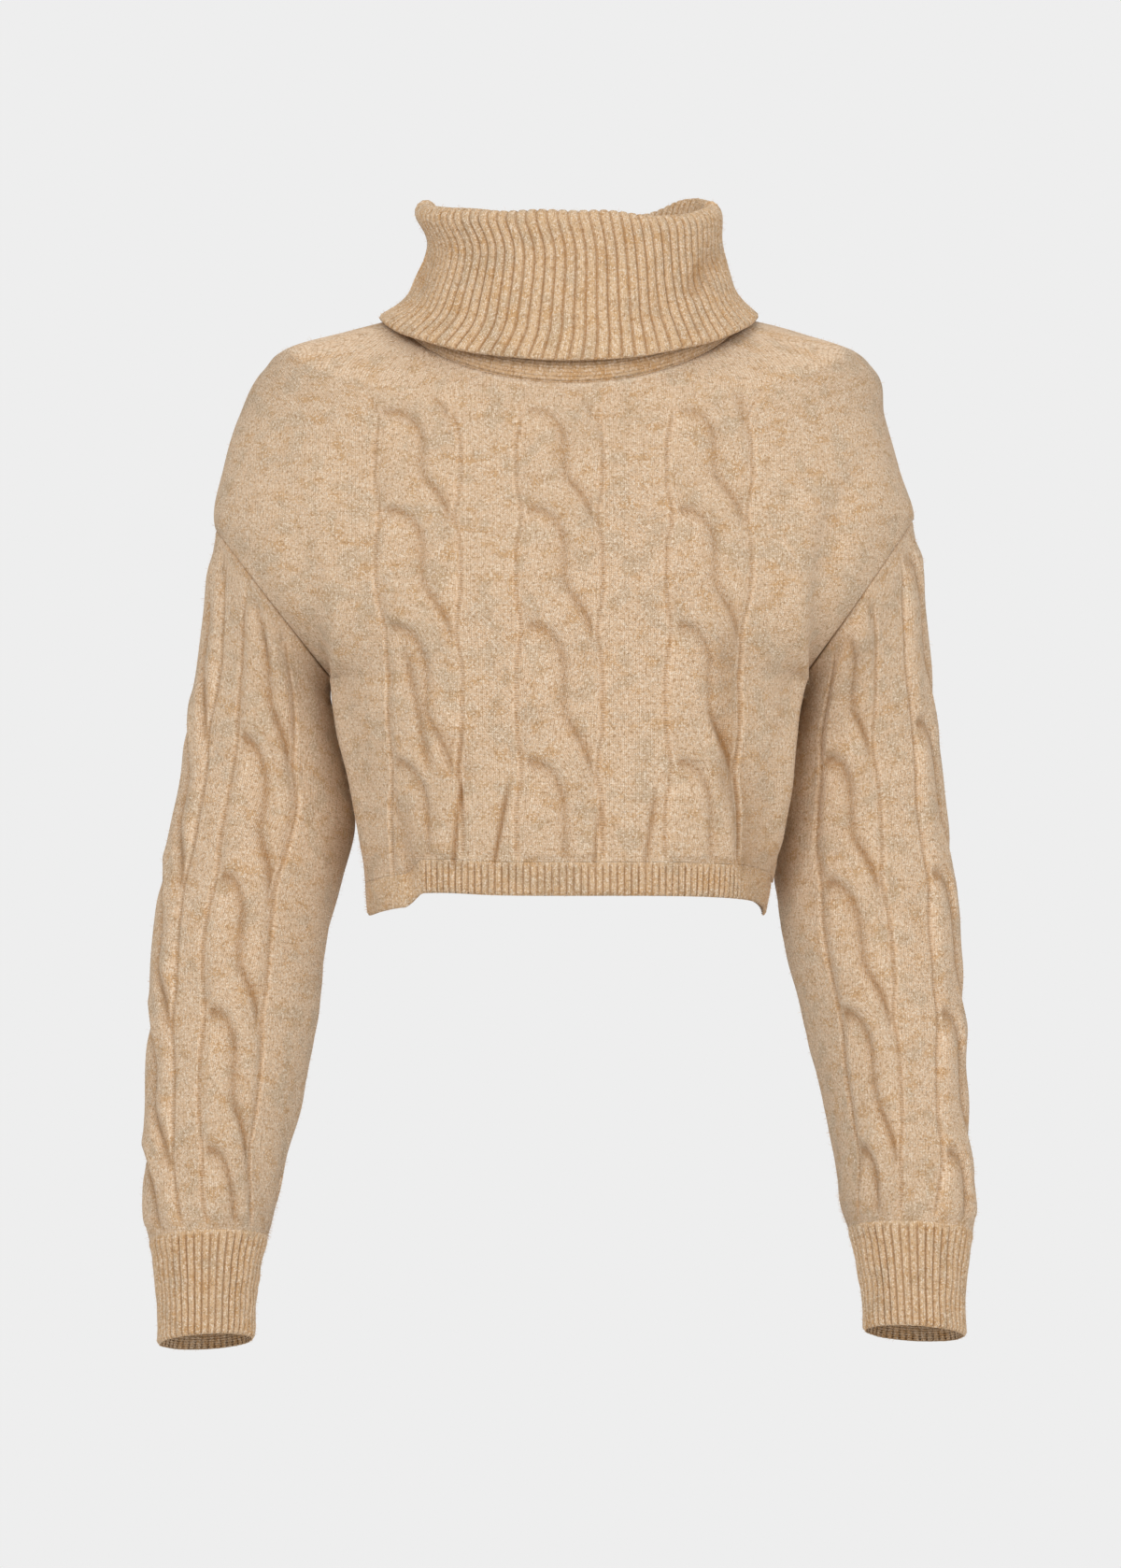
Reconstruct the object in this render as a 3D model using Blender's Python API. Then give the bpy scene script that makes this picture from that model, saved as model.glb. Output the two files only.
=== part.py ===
"""Cropped cable-knit roll-neck sweater, held in its hollow worn form.

Each knitted piece is one wall: a fine outer grid that carries the cables or ribs, and a plain
coarse inner grid, closed by a rim. Lengths are in millimetres until a mesh is made. The front
faces -Y, and the origin is the middle of the neck base, at the height of the shoulders.
"""

import math

import bmesh
import bpy
import numpy as np

NAME = "cropped_cable_knit_sweater"
MM = 0.001

# The cloth.
WALL = 2.4
SEAM_GAP = 0.3

# Body panels, from the hem seam up to the neck seam.
HEM_SEAM_MIDDLE = -342.0
HEM_SEAM_SIDE = -356.5
HEM_RIB_HEIGHT = 21.0
PANEL_HALF_WIDTH = 205.0
WALE_SPREAD = 3.0
ROW_DROP = 2.4
HEM_ROW_DROP = 3.2
HEM_ROWS = 5
# the hem steps down at the front left corner: where the step and the slope after it start and
# how wide they are, the step's share of the drop, and the share of the smooth drop kept
STEP_AT, STEP_WIDTH, STEP_SHARE = 0.49, 0.09, 0.62
SLOPE_AT, SLOPE_WIDTH, STEP_BLEND = 0.55, 0.35, 0.1
SIDE_ROWS, ARMHOLE_ROWS, SHOULDER_ROWS = 13, 8, 10
# every so many rows and columns that a panel's plain inside keeps
PANEL_KEEP_ROWS, PANEL_KEEP_COLS = 3, 4
# the wales draw together above this depth below the origin, by this share at the origin
GATHER_FROM, GATHER = 75.0, 0.5

# Half-widths and depths of the body tube: seam line x at the left and the right, y of the
# middle of the front and the back, y of the side seam at the left and the right, and how
# round the section is (1 an ellipse, less is boxier).
TORSO_COLUMNS = ("z", "left", "right", "front", "back", "mid_left", "mid_right", "round")
TORSO = (
    (-380, 129, 125, 103, 94, -14, -18, 0.80),
    (-343, 132, 132, 106, 96, -14, -19, 0.78),
    (-300, 138, 138, 110, 98, -14, -19, 0.74),
    (-265, 145, 141, 113, 99, -11, -16, 0.68),
    (-242, 150, 145, 114, 100, -4, -6, 0.64),
    (-225, 153, 149, 114, 101, 5, 5, 0.62),
    (-180, 188, 184, 113, 103, 5, 5, 0.62),
    (-130, 227, 220, 107, 103, 5, 5, 0.68),
    (-90, 222, 211, 100, 98, 5, 5, 0.78),
    (-57, 212, 202, 95, 91, 5, 5, 0.84),
    (-27, 196, 195, 88, 82, 5, 5, 0.88),
    (-15, 183, 181, 84, 77, 5, 5, 0.90),
    (-5, 150, 151, 80, 72, 5, 5, 0.90),
    (3, 121, 124, 77, 68, 5, 5, 0.90),
    (6, 110, 110, 75, 66, 5, 5, 0.90),
)

# Armhole ring: underarm and shoulder ends, and its depth either way along Y.
ARMHOLE = {
    -1: {"under": (-153.0, -225.0), "over": (-227.0, -130.0), "depth": 62.0, "y": 5.0},
    1: {"under": (149.0, -225.0), "over": (220.0, -124.0), "depth": 62.0, "y": 5.0},
}

# Neck ring.
NECK_HALF_WIDTH = 110.0
NECK_SIDE_Z, NECK_SIDE_Y = 6.0, 5.0
NECK_FRONT_Y, NECK_FRONT_Z = -91.0, -43.0
NECK_BACK_Y, NECK_BACK_Z = 66.0, 6.0
NECK_FALL = 1.3
# how far the cloth at the neck leans back from upright, in degrees, and how much more at the sides
NECK_LEAN, NECK_SIDE_LEAN = 17.0, 28.0

# Sleeves, from the armhole to the cuff's edge: outer and inner ends of each ring, its
# depth either way, its centre's y and how far its front is raised, in degrees.
SLEEVE_COLUMNS = ("outer_x", "outer_z", "inner_x", "inner_z", "depth", "y", "tilt")
SLEEVES = {
    -1: (
        (-227, -130, -153, -225, 62, 5, 0),
        (-232, -160, -154, -241, 61, 10, 1),
        (-238, -205, -149, -262, 60, 16, 2),
        (-246, -250, -142, -290, 60, 19, 3),
        (-252, -295, -139, -322, 60, 18, 4),
        (-260, -340, -147, -355, 59, 14, 5),
        (-268, -390, -157, -394, 57, 6, 7),
        (-270, -440, -161, -440, 55, -2, 9),
        (-271, -490, -170, -488, 52, -13, 11),
        (-271, -535, -181, -532, 47, -24, 12),
        (-270, -565, -187, -562, 42, -31, 13),
        (-267, -584, -192, -581, 37, -36, 14),
    ),
    1: (
        (220, -124, 149, -225, 62, 5, 0),
        (226, -160, 149, -243, 61, 11, 1),
        (232, -205, 144, -264, 60, 19, 2),
        (237, -250, 138, -291, 60, 23, 3),
        (242, -295, 136, -322, 60, 23, 4),
        (247, -340, 133, -354, 59, 20, 5),
        (252, -390, 138, -394, 57, 12, 7),
        (254, -440, 149, -440, 55, 2, 9),
        (255, -490, 160, -488, 52, -10, 11),
        (257, -535, 169, -532, 47, -22, 12),
        (258, -560, 172, -558, 42, -29, 13),
        (256, -579, 177, -576, 37, -34, 14),
    ),
}
CUFFS = {
    -1: (
        (-267, -584, -192, -581, 37, -36, 14),
        (-264, -600, -196, -597, 34, -39, 14),
        (-261, -624, -199, -620, 32, -44, 15),
        (-260, -648, -200, -644, 32, -49, 15),
    ),
    1: (
        (256, -579, 177, -576, 37, -34, 14),
        (253, -595, 181, -592, 34, -37, 14),
        (250, -620, 185, -616, 32, -42, 15),
        (250, -643, 186, -639, 32, -47, 15),
    ),
}
SLEEVE_HALF_ROUND = 178.0
SLEEVE_SPREAD = 2.2
SLEEVE_ROWS = 27
CUFF_RIBS = 43
CUFF_ROWS = (0.0, 0.06, 1.0)
SLEEVE_KEEP_ROWS, SLEEVE_KEEP_COLS, CUFF_KEEP_COLS = 3, 3, 5

# Roll collar, along the strip: stand, fold, then the turned layer. Half-width, shift along X
# and height at the sides, then y and height at the middle of the front and of the back.
COLLAR_COLUMNS = ("half_width", "shift", "side_z", "front_y", "front_z", "back_y", "back_z")
COLLAR = (
    (110.0, 0.0, 6.0, -91.0, -43.0, 66.0, 6.0),
    (92.0, 1.0, 24.0, -82.0, -6.0, 59.0, 24.0),
    (83.0, 1.0, 60.0, -72.0, 48.0, 55.0, 57.0),
    (89.5, -1.0, 78.5, -77.0, 63.5, 61.0, 72.5),
    (96.0, -1.0, 73.5, -82.0, 59.5, 66.0, 69.0),
    (92.5, 3.5, 53.0, -85.0, 38.0, 67.5, 53.0),
    (100.5, 2.5, 27.0, -90.0, 2.0, 76.0, 27.0),
    (107.5, 2.0, 16.5, -93.0, -13.0, 81.0, 13.5),
    (121.0, -1.0, 5.5, -98.0, -29.5, 89.0, 3.0),
)
COLLAR_SIDE_Y = 2.0
COLLAR_FALL = (1.3, 1.2, 0.9, 0.8, 0.8, 0.9, 1.1, 1.2, 1.3)
# the fold dips at the front right and rises at the back right
RIM_DIP = (0, 0, 2, 4, 4, 2, 0, 0, 0)
RIM_DIP_X, RIM_DIP_WIDTH = 62.0, 28.0
RIM_LIFT = (0, 0, 4, 8, 8, 4, 0, 0, 0)
RIM_LIFT_AT, RIM_LIFT_WIDTH, RIM_LIFT_EDGE = 0.88, 0.33, 0.45
COLLAR_WALL = 2.6
COLLAR_RIBS = 84
COLLAR_RIB = 1.6
COLLAR_EDGE_SHARE = 0.4
COLLAR_KEEP_COLS = 7

# Ribs of the hem and cuffs.
HEM_RIBS = 90
FINE_RIB = 1.1
RIB_GROOVE = -0.25
HEM_TOP_ROW = 2.5
# columns that the inside of the hem keeps: every few at the sides, fewer in the middle
HEM_KEEP_SIDE, HEM_KEEP_MIDDLE = 4, 10
HEM_MIDDLE_FROM, HEM_MIDDLE_TO = 40, 140

# Cables: centres across a body panel and round a sleeve from its outer line, half-width
# between ladders, rise over the plain cloth, the soft edges of the strands and ladders, and
# the crossings' spacing and places.
BODY_CABLES = (-95.0, -6.6, 87.0)
SLEEVE_CABLES = {-1: (-105.0, -38.0, 27.0, 91.0), 1: (-105.0, -38.0, 31.0, 103.0)}
BODY_CABLE_HALF = 28.0
SLEEVE_CABLE_HALF = 23.0
CABLE_RISE = 3.0
CROSSING_RISE = 1.2
CABLE_EDGE = 5.0
STRAND_ROUND = 4.0
GROOVE_WIDTH = 4.2
LADDER_DEPTH = 0.8
LADDER_WIDTH = 2.6
CABLE_MARGIN = 6.0
CROSSING_PITCH = 87.0
BODY_CROSSING = -279.0
SLEEVE_CROSSING = -270.0
CHEST_SLOPE_FROM, CHEST_SLOPE = -235.0, 0.0027
# the groove as shares of the spacing: the length of a turn, where the second starts, its end
GROOVE_TURN, GROOVE_REST, GROOVE_END = 0.38, 0.72, 1.12
CROSSING_LENGTH, CROSSING_BAND = 0.2, 0.6
STRAND_EDGE, LADDER_INSET = 1.5, 1.0
# below the neck seam the cables fade out over this height, starting lower at the sides
CABLE_FADE, CABLE_FADE_SIDE = 30.0, 25.0
# columns across a cable, as shares of its half-width, and beyond the outer cables
FRONT_CABLE_COLS = (-1.0, -0.84, -0.63, -0.42, -0.21, 0.0, 0.21, 0.42, 0.63, 0.84, 1.0)
BACK_CABLE_COLS = (-1.0, -0.8, -0.4, 0.0, 0.4, 0.8, 1.0)
SLEEVE_CABLE_COLS = (-1.0, -0.72, -0.36, 0.0, 0.36, 0.72, 1.0)
LEFT_COLS, RIGHT_COLS = 7, 8
SLEEVE_PLAIN_COLS = (-165.0, -150.0, 150.0, 165.0)

# Folds of the body: at the front armpits, a lip over a trough along a line of x and z.
FOLD_COLUMNS = ("x", "z", "lip", "trough")
ARMPIT_FOLDS = {
    -1: (
        (-150, -380, 1, 0),
        (-150, -320, 3, 1),
        (-150, -262, 5, 2),
        (-150, -225, 4, 3),
        (-151, -190, 2, 3),
        (-158, -140, 1, 2),
        (-172, -80, 0, 0),
    ),
    1: (
        (150, -380, 4, 1),
        (150, -320, 5, 1),
        (150, -262, 6, 2),
        (148, -225, 6, 4),
        (147, -190, 5, 5),
        (153, -130, 4, 5),
        (180, -75, 0, 0),
    ),
}
FOLD_WIDTH = 12.0
LIP_AT, TROUGH_AT = -5.0, 14.0
BACK_FOLD_SHARE, BACK_CREASE_SHARE = 0.25, 0.6
# shares of a crease over which it deepens, where it ends, and over which it fades
CREASE_IN, CREASE_END, CREASE_OUT = 0.35, 1.15, 0.3
# Soft creases over the hem: x and z of the top, x and z of the bottom, width, depth.
CREASE_COLUMNS = ("top_x", "top_z", "low_x", "low_z", "width", "depth")
CREASES = (
    (-71, -295, -74, -348, 4.0, 2.2),
    (-41, -305, -49, -352, 5.0, 2.6),
    (17, -310, 16, -350, 4.0, 2.2),
    (51, -305, 48, -350, 4.0, 2.2),
    (98, -240, 119, -350, 8.0, 3.6),
    (-103, -270, -99, -345, 7.0, 2.4),
    (-72, -255, -66, -292, 6.0, 2.0),
)

WOOL = (0.60, 0.43, 0.26)
RIB_WOOL = (0.57, 0.40, 0.24)


def columns(rows, names):
    """Arrays of a table's columns, by name."""
    return dict(zip(names, np.array(rows, float).T))


def spline(at, xs, ys):
    """Smooth curve through the points xs (rising), ys."""
    xs, ys = np.asarray(xs, float), np.asarray(ys, float)
    slopes = np.gradient(ys, xs)
    k = np.clip(np.searchsorted(xs, at) - 1, 0, len(xs) - 2)
    span = xs[k + 1] - xs[k]
    t = np.clip((at - xs[k]) / span, 0.0, 1.0)
    rise = (3 - 2 * t) * t * t
    lean = t * (1 - t) * (slopes[k] * (1 - t) - slopes[k + 1] * t) * span
    return ys[k] + (ys[k + 1] - ys[k]) * rise + lean


def ease(t):
    """0 below 0, 1 above 1, smooth between."""
    t = np.clip(t, 0.0, 1.0)
    return t * t * (3 - 2 * t)


def unit(v):
    return v / np.maximum(np.linalg.norm(v, axis=-1, keepdims=True), 1e-9)


def blend(xyz):
    """One array of points from three of coordinates."""
    return np.stack(np.broadcast_arrays(*xyz), axis=-1).astype(float)


def grid_normals(points, closed, outward):
    """Unit normals of a grid of points, turned to the side that outward points to."""
    if closed:
        wide = np.concatenate([points[:, -1:], points, points[:, :1]], axis=1)
        across = np.gradient(wide, axis=1)[:, 1:-1]
    else:
        across = np.gradient(points, axis=1)
    along = np.gradient(points, axis=0)
    normals = unit(np.cross(across, along))
    return normals * np.sign(np.sum(normals * outward))


# Body panels.


def torso_section(z, side, face):
    """Half-width, depth, seam y, roundness and edge angle of the section at height z."""
    t = columns(TORSO, TORSO_COLUMNS)
    power = spline(z, t["z"], t["round"])
    half = np.where(side < 0, spline(z, t["z"], t["left"]), spline(z, t["z"], t["right"]))
    mid = np.where(side < 0, spline(z, t["z"], t["mid_left"]), spline(z, t["z"], t["mid_right"]))
    depth = spline(z, t["z"], t["front"]) + mid if face < 0 else spline(z, t["z"], t["back"]) - mid
    edge = np.full(np.shape(half), math.pi / 2)
    for hand, ring in ARMHOLE.items():
        (x0, z0), (x1, z1) = ring["under"], ring["over"]
        s = np.clip((z - z0) / (z1 - z0), 0.0, 1.0)
        inside = (side == hand) & (z > z0) & (z < z1)
        drop = ring["depth"] * np.sqrt(np.maximum(0.0, 1 - (1 - 2 * s) ** 2))
        angle = np.arccos(np.clip(drop / depth, 0.0, 1.0) ** (1 / power))
        at_ring = abs(x0) + (abs(x1) - abs(x0)) * s
        half = np.where(inside, at_ring / np.sin(angle), half)
        edge = np.where(inside, angle, edge)
    return half, depth, mid, power, edge


def arc_to(angle, a, b):
    """Length of an ellipse's arc from its middle to the angle."""
    return (a + b) / 2 * angle + (a - b) / 4 * np.sin(2 * angle)


def angle_at(length, a, b):
    """The angle whose arc has this length."""
    angle = 2 * length / (a + b)
    for _ in range(14):
        angle = (length - (a - b) / 4 * np.sin(2 * angle)) * 2 / (a + b)
    return angle


def shoulder_heights(hand, count):
    """Heights at even steps along the shoulder ridge, from the armhole up to the neck."""
    t = columns(TORSO, TORSO_COLUMNS)
    z = np.linspace(ARMHOLE[hand]["over"][1], NECK_SIDE_Z, 200)
    x = spline(z, t["z"], t["left" if hand < 0 else "right"])
    run = np.concatenate([[0.0], np.cumsum(np.hypot(np.diff(x), np.diff(z)))])
    return np.interp(np.linspace(0, run[-1], count + 1), run, z)


def edge_heights(hand):
    """Heights of the rows at one side edge: side seam, armhole, then shoulder seam."""
    under, over = ARMHOLE[hand]["under"][1], ARMHOLE[hand]["over"][1]
    seam = np.linspace(HEM_SEAM_SIDE, under, SIDE_ROWS + 1)
    turn = np.linspace(0, math.pi, ARMHOLE_ROWS + 1)[1:]
    hole = under + (over - under) * (1 - np.cos(turn)) / 2
    return np.concatenate([seam, hole, shoulder_heights(hand, SHOULDER_ROWS)[1:]])


def ring_points(hand, turn, face):
    """Points, normals and the way out along the arm on the armhole ring; turn 0 is below."""
    ring = ARMHOLE[hand]
    (x0, z0), (x1, z1) = ring["under"], ring["over"]
    s = (1 - np.cos(turn)) / 2
    points = blend((x0 + (x1 - x0) * s, ring["y"] + face * ring["depth"] * np.sin(turn), z0 + (z1 - z0) * s))
    under, over = np.array([0.0, 0.0, -1.0]), np.array([hand * 0.98, 0.0, 0.2])
    normals = np.multiply.outer(1 - s, under) + np.multiply.outer(s, over)
    normals = unit(normals + np.multiply.outer(np.sin(turn), np.array([0.0, float(face), 0.0])))
    lean = (x1 - x0) / 2 * np.sin(turn)
    along = blend((lean, face * ring["depth"] * np.cos(turn), (z1 - z0) / 2 * np.sin(turn)))
    outward = unit(np.cross(normals, along))
    outward *= np.sign(hand * np.sum(outward[:, 0]))
    return points, normals, outward


def neck_point(turn):
    """Points and outward normals on the neck ring; turn 0 is the front, pi/2 the +X side."""
    front = np.cos(turn) > 0
    c = np.abs(np.cos(turn))
    y = NECK_SIDE_Y + np.where(front, NECK_FRONT_Y - NECK_SIDE_Y, NECK_BACK_Y - NECK_SIDE_Y) * c
    fall = c**NECK_FALL
    z = NECK_SIDE_Z + np.where(front, NECK_FRONT_Z - NECK_SIDE_Z, NECK_BACK_Z - NECK_SIDE_Z) * fall
    points = blend((NECK_HALF_WIDTH * np.sin(turn), y, z))
    lift = np.radians(NECK_LEAN + NECK_SIDE_LEAN * np.sin(turn) ** 2)
    normals = blend((np.sin(turn) * np.cos(lift), -np.cos(turn) * np.cos(lift), np.sin(lift)))
    return points, normals


def neck_rise(turn):
    """Unit vectors that lie in the cloth at the neck seam and point up the collar."""
    points, normals = neck_point(turn)
    ahead, _ = neck_point(turn + 0.01)
    rise = unit(np.cross(normals, ahead - points))
    return rise * np.sign(np.sum(rise[:, 2]))


def spread_run(reach, full):
    """Distances from the middle line at the columns, which spread towards the edges."""
    return PANEL_HALF_WIDTH * reach + (full - PANEL_HALF_WIDTH) * reach**WALE_SPREAD


def neck_turns(face, u):
    """Turns on the neck ring of a panel's columns, rising from -pi/2 on the front."""
    depth = abs(NECK_FRONT_Y if face < 0 else NECK_BACK_Y) + NECK_SIDE_Y
    run = spread_run(np.abs(u), arc_to(math.pi / 2, NECK_HALF_WIDTH, depth))
    turn = np.sign(u) * np.minimum(angle_at(run, NECK_HALF_WIDTH, depth), math.pi / 2)
    return turn if face < 0 else math.pi - turn


def hem_share(u, face):
    """Share of the hem's drop reached at each column; the front left corner has a step."""
    reach = np.abs(u)
    smooth = reach**HEM_ROW_DROP
    step = STEP_SHARE * ease((reach - STEP_AT) / STEP_WIDTH)
    step += (1 - STEP_SHARE) * ease((reach - SLOPE_AT) / SLOPE_WIDTH)
    step += STEP_BLEND * (smooth - step)
    return np.where((u < 0) & (face < 0), step, smooth)


def panel_grid(face, u):
    """Base points, normals and knitting coordinates of a body panel at the columns u."""
    rows = SIDE_ROWS + ARMHOLE_ROWS + SHOULDER_ROWS
    side = np.where(u < 0, -1, 1)
    left, right = edge_heights(-1), edge_heights(1)
    edge_z = np.where(side < 0, left[:, None], right[:, None])
    top = NECK_FRONT_Z if face < 0 else NECK_BACK_Z
    middle_z = np.linspace(HEM_SEAM_MIDDLE, top, rows + 1)[:, None]
    near_hem = np.clip(1 - np.arange(rows + 1) / HEM_ROWS, 0.0, 1.0)[:, None]
    share = np.abs(u) ** ROW_DROP * (1 - near_hem) + hem_share(u, face) * near_hem
    z = middle_z + (edge_z - middle_z) * share
    hands = np.broadcast_to(side, z.shape)
    half, depth, mid, power, edge = torso_section(z, hands, face)
    reach = np.abs(u)
    full = arc_to(edge, half, depth)
    run = spread_run(reach, full)
    angle = np.minimum(angle_at(run, half, depth), edge)
    x = hands * half * np.sin(angle)
    y = mid + face * depth * np.maximum(0.0, np.cos(angle)) ** power
    points = blend((x, y, z))

    points[-1], neck_normals = neck_point(neck_turns(face, u))

    normals = grid_normals(points, False, np.array([0.0, float(face), 0.0]))
    gather = np.clip(1 + z / GATHER_FROM, 0.0, 1.0)
    wale = hands * run / (1 + GATHER * gather**2)
    course = z + CHEST_SLOPE / 2 * np.maximum(0.0, z - CHEST_SLOPE_FROM) ** 2
    return points, normals, neck_normals, wale, course, run


def fold_relief(points, run, hand, face):
    """Lip and trough of the armpit fold, by the distance across from its line."""
    t = columns(ARMPIT_FOLDS[hand], FOLD_COLUMNS)
    z = points[..., 2]
    line_x = np.abs(spline(z, t["z"], t["x"]))
    half, depth, _, _, _ = torso_section(z, np.full(z.shape, hand), face)
    line = arc_to(np.arcsin(np.clip(line_x / half, 0, 0.985)), half, depth)
    away = run - line
    lip = np.interp(z, t["z"], t["lip"]) * np.exp(-(((away - LIP_AT) / FOLD_WIDTH) ** 2))
    trough = np.interp(z, t["z"], t["trough"]) * np.exp(-(((away - TROUGH_AT) / FOLD_WIDTH) ** 2))
    share = 1.0 if face < 0 else BACK_FOLD_SHARE
    return share * (lip - trough) * (np.sign(points[..., 0]) == hand)


def crease_relief(points):
    """Soft troughs over the hem, each deepest in the middle of its line."""
    x, z = points[..., 0], points[..., 2]
    relief = np.zeros(x.shape)
    for row in CREASES:
        c = dict(zip(CREASE_COLUMNS, row))
        t = (c["top_z"] - z) / (c["top_z"] - c["low_z"])
        line = c["top_x"] + (c["low_x"] - c["top_x"]) * t
        fade = ease(t / CREASE_IN) * ease((CREASE_END - t) / CREASE_OUT)
        relief -= c["depth"] * fade * np.exp(-(((x - line) / c["width"]) ** 2))
    return relief


def cable_relief(across, along, half, first):
    """Rise of one cable: strands domed between the edges and the S-shaped grooves."""
    inner = half - CABLE_EDGE
    phase = (first - along) / CROSSING_PITCH
    edge = 1 - np.exp(-((np.maximum(0.0, inner + STRAND_EDGE - np.abs(across)) / STRAND_ROUND) ** 2))
    rise = CABLE_RISE * edge
    for lap in (0.0, 1.0):
        q = np.mod(phase, 1.0) + lap
        line = inner * (ease(q / GROOVE_TURN) + ease((q - GROOVE_REST) / GROOVE_TURN) - 1)
        groove = 1 - np.exp(-(((across - line) / GROOVE_WIDTH) ** 2))
        rise = rise * np.where(q < GROOVE_END, groove, 1.0)
    cross = np.exp(-(((np.mod(phase + 0.5, 1.0) - 0.5) / CROSSING_LENGTH) ** 2))
    band = np.exp(-((across / (CROSSING_BAND * inner)) ** 2))
    rise = rise + CROSSING_RISE * cross * edge * band
    ladder = np.exp(-(((np.abs(across) - half + LADDER_INSET) / LADDER_WIDTH) ** 2))
    return rise - LADDER_DEPTH * ladder


def panel_columns(spare):
    """Column places across a panel: on each cable's edges, ladders and strands."""
    offsets = BACK_CABLE_COLS if spare else FRONT_CABLE_COLS
    places = [c + BODY_CABLE_HALF * o for c in BODY_CABLES for o in offsets]
    places += [(a + b) / 2 for a, b in zip(BODY_CABLES[:-1], BODY_CABLES[1:])]
    last = BODY_CABLES[-1] + BODY_CABLE_HALF
    places += list(np.linspace(last, PANEL_HALF_WIDTH, RIGHT_COLS)[1:])
    last = BODY_CABLES[0] - BODY_CABLE_HALF
    places += list(np.linspace(last, -PANEL_HALF_WIDTH, LEFT_COLS)[1:])
    return np.array(sorted(places)) / PANEL_HALF_WIDTH


def panel(name, face, spare):
    """A body panel: its wall, with cables, folds, and edges pulled back at each seam."""
    u = panel_columns(spare)
    base, normals, neck_normals, wale, course, run = panel_grid(face, u)
    first_row, last_row = SIDE_ROWS, SIDE_ROWS + ARMHOLE_ROWS
    fold = crease_relief(base) * (1.0 if face < 0 else BACK_CREASE_SHARE)
    for hand in (-1, 1):
        fold = fold + fold_relief(base, run, hand, face)
    rise = np.zeros(wale.shape)
    for centre in BODY_CABLES:
        across = -face * (wale - centre)
        near = np.abs(across) < BODY_CABLE_HALF + CABLE_MARGIN
        rise += np.where(near, cable_relief(across, course, BODY_CABLE_HALF, BODY_CROSSING), 0.0)
    rise *= ease((NECK_FRONT_Z - base[..., 2] + CABLE_FADE_SIDE * np.abs(u) ** 2) / CABLE_FADE)

    ends = np.minimum(np.arange(len(u)), np.arange(len(u))[::-1])
    fade = np.minimum(1.0, ends / 2.0)[None, :] * np.ones(rise.shape)
    fade[-1], fade[0] = 0.0, 0.0
    rise, fold = rise * fade, fold * fade

    gap = SEAM_GAP / 2
    for hand, col in ((-1, 0), (1, -1)):
        line = base[:, col].copy()
        along = np.gradient(line[:, [0, 2]], axis=0)
        flat = unit(np.stack([along[:, 1], -along[:, 0]], axis=-1) * hand)
        flat *= np.where(np.abs(flat[:, :1]) > 0.3, np.sign(flat[:, :1]) * hand, np.sign(flat[:, 1:]))
        normals[:, col] = blend((flat[:, 0], 0 * flat[:, 0], flat[:, 1]))
        turn = np.linspace(0, math.pi, ARMHOLE_ROWS + 1)
        hole, hole_normals, outward = ring_points(hand, turn, face)
        base[first_row : last_row + 1, col] = hole - gap * outward
        normals[first_row : last_row + 1, col] = hole_normals
        seam = np.ones(len(line), bool)
        seam[first_row + 1 : last_row] = False
        base[seam, col, 1] += face * gap
    normals[-1] = neck_normals
    base[-1] -= gap * neck_rise(neck_turns(face, u))
    base[0], normals[0] = hem_seam(face)
    base[0, :, 2] += gap

    folded = base + normals * fold[..., None]
    outer = folded + normals * rise[..., None]
    inner = folded - normals * WALL
    top = len(outer) - 1
    step = PANEL_KEEP_ROWS
    keep_rows = [0, 1, *range(step, first_row, step), first_row, *range(first_row + 2, top, step), top]
    plain = np.abs(u) * PANEL_HALF_WIDTH > BODY_CABLES[-1] + BODY_CABLE_HALF
    keep_cols = sorted(set(range(0, len(u), PANEL_KEEP_COLS)) | set(np.flatnonzero(plain).tolist()))
    return panel_wall(name, outer, inner, keep_rows, keep_cols, WOOL)


# Walls.


def stitch(faces, first, first_at, second, second_at):
    """Triangles between two lines of points, each with its places along them."""
    i, j = 0, 0
    while i < len(first) - 1 or j < len(second) - 1:
        ahead = j < len(second) - 1 and second_at[j] + second_at[j + 1]
        if j == len(second) - 1 or (i < len(first) - 1 and first_at[i] + first_at[i + 1] <= ahead):
            faces.append((first[i], first[i + 1], second[j]))
            i += 1
        else:
            faces.append((first[i], second[j + 1], second[j]))
            j += 1


def quads(faces, grid):
    """Four-sided faces over a grid of points."""
    for lower, upper in zip(grid[:-1], grid[1:]):
        faces.extend(zip(lower[:-1], lower[1:], upper[1:], upper[:-1]))


def panel_wall(name, outer, inner, keep_rows, keep_cols, colour):
    """A closed wall from two grids: the inner one is coarse but for its edges."""
    rows, cols = outer.shape[:2]
    used = np.zeros((rows, cols), bool)
    used[[0, -1]] = True
    used[:, [0, -1]] = True
    used[np.ix_(keep_rows, keep_cols)] = True
    front = np.arange(rows * cols).reshape(rows, cols)
    back = np.full((rows, cols), -1)
    back[used] = rows * cols + np.arange(used.sum())
    low, high = keep_rows[1], keep_rows[-2]
    block = back[np.ix_(keep_rows[1:-1], keep_cols[1:-1])]
    all_rows, all_cols = list(range(rows)), list(range(cols))
    faces = []
    quads(faces, front)
    quads(faces, block)
    stitch(faces, back[0], all_cols, back[low, keep_cols], keep_cols)
    stitch(faces, back[-1], all_cols, back[high, keep_cols], keep_cols)
    between = all_rows[low : high + 1]
    stitch(faces, back[between, 0], between, block[:, 0], keep_rows[1:-1])
    stitch(faces, back[between, -1], between, block[:, -1], keep_rows[1:-1])
    for edge in (np.s_[0], np.s_[-1], np.s_[:, 0], np.s_[:, -1]):
        quads(faces, np.array([front[edge], back[edge]]))
    points = np.concatenate([outer.reshape(-1, 3), inner[used]])
    return cloth_object(name, points, faces, colour)


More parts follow.
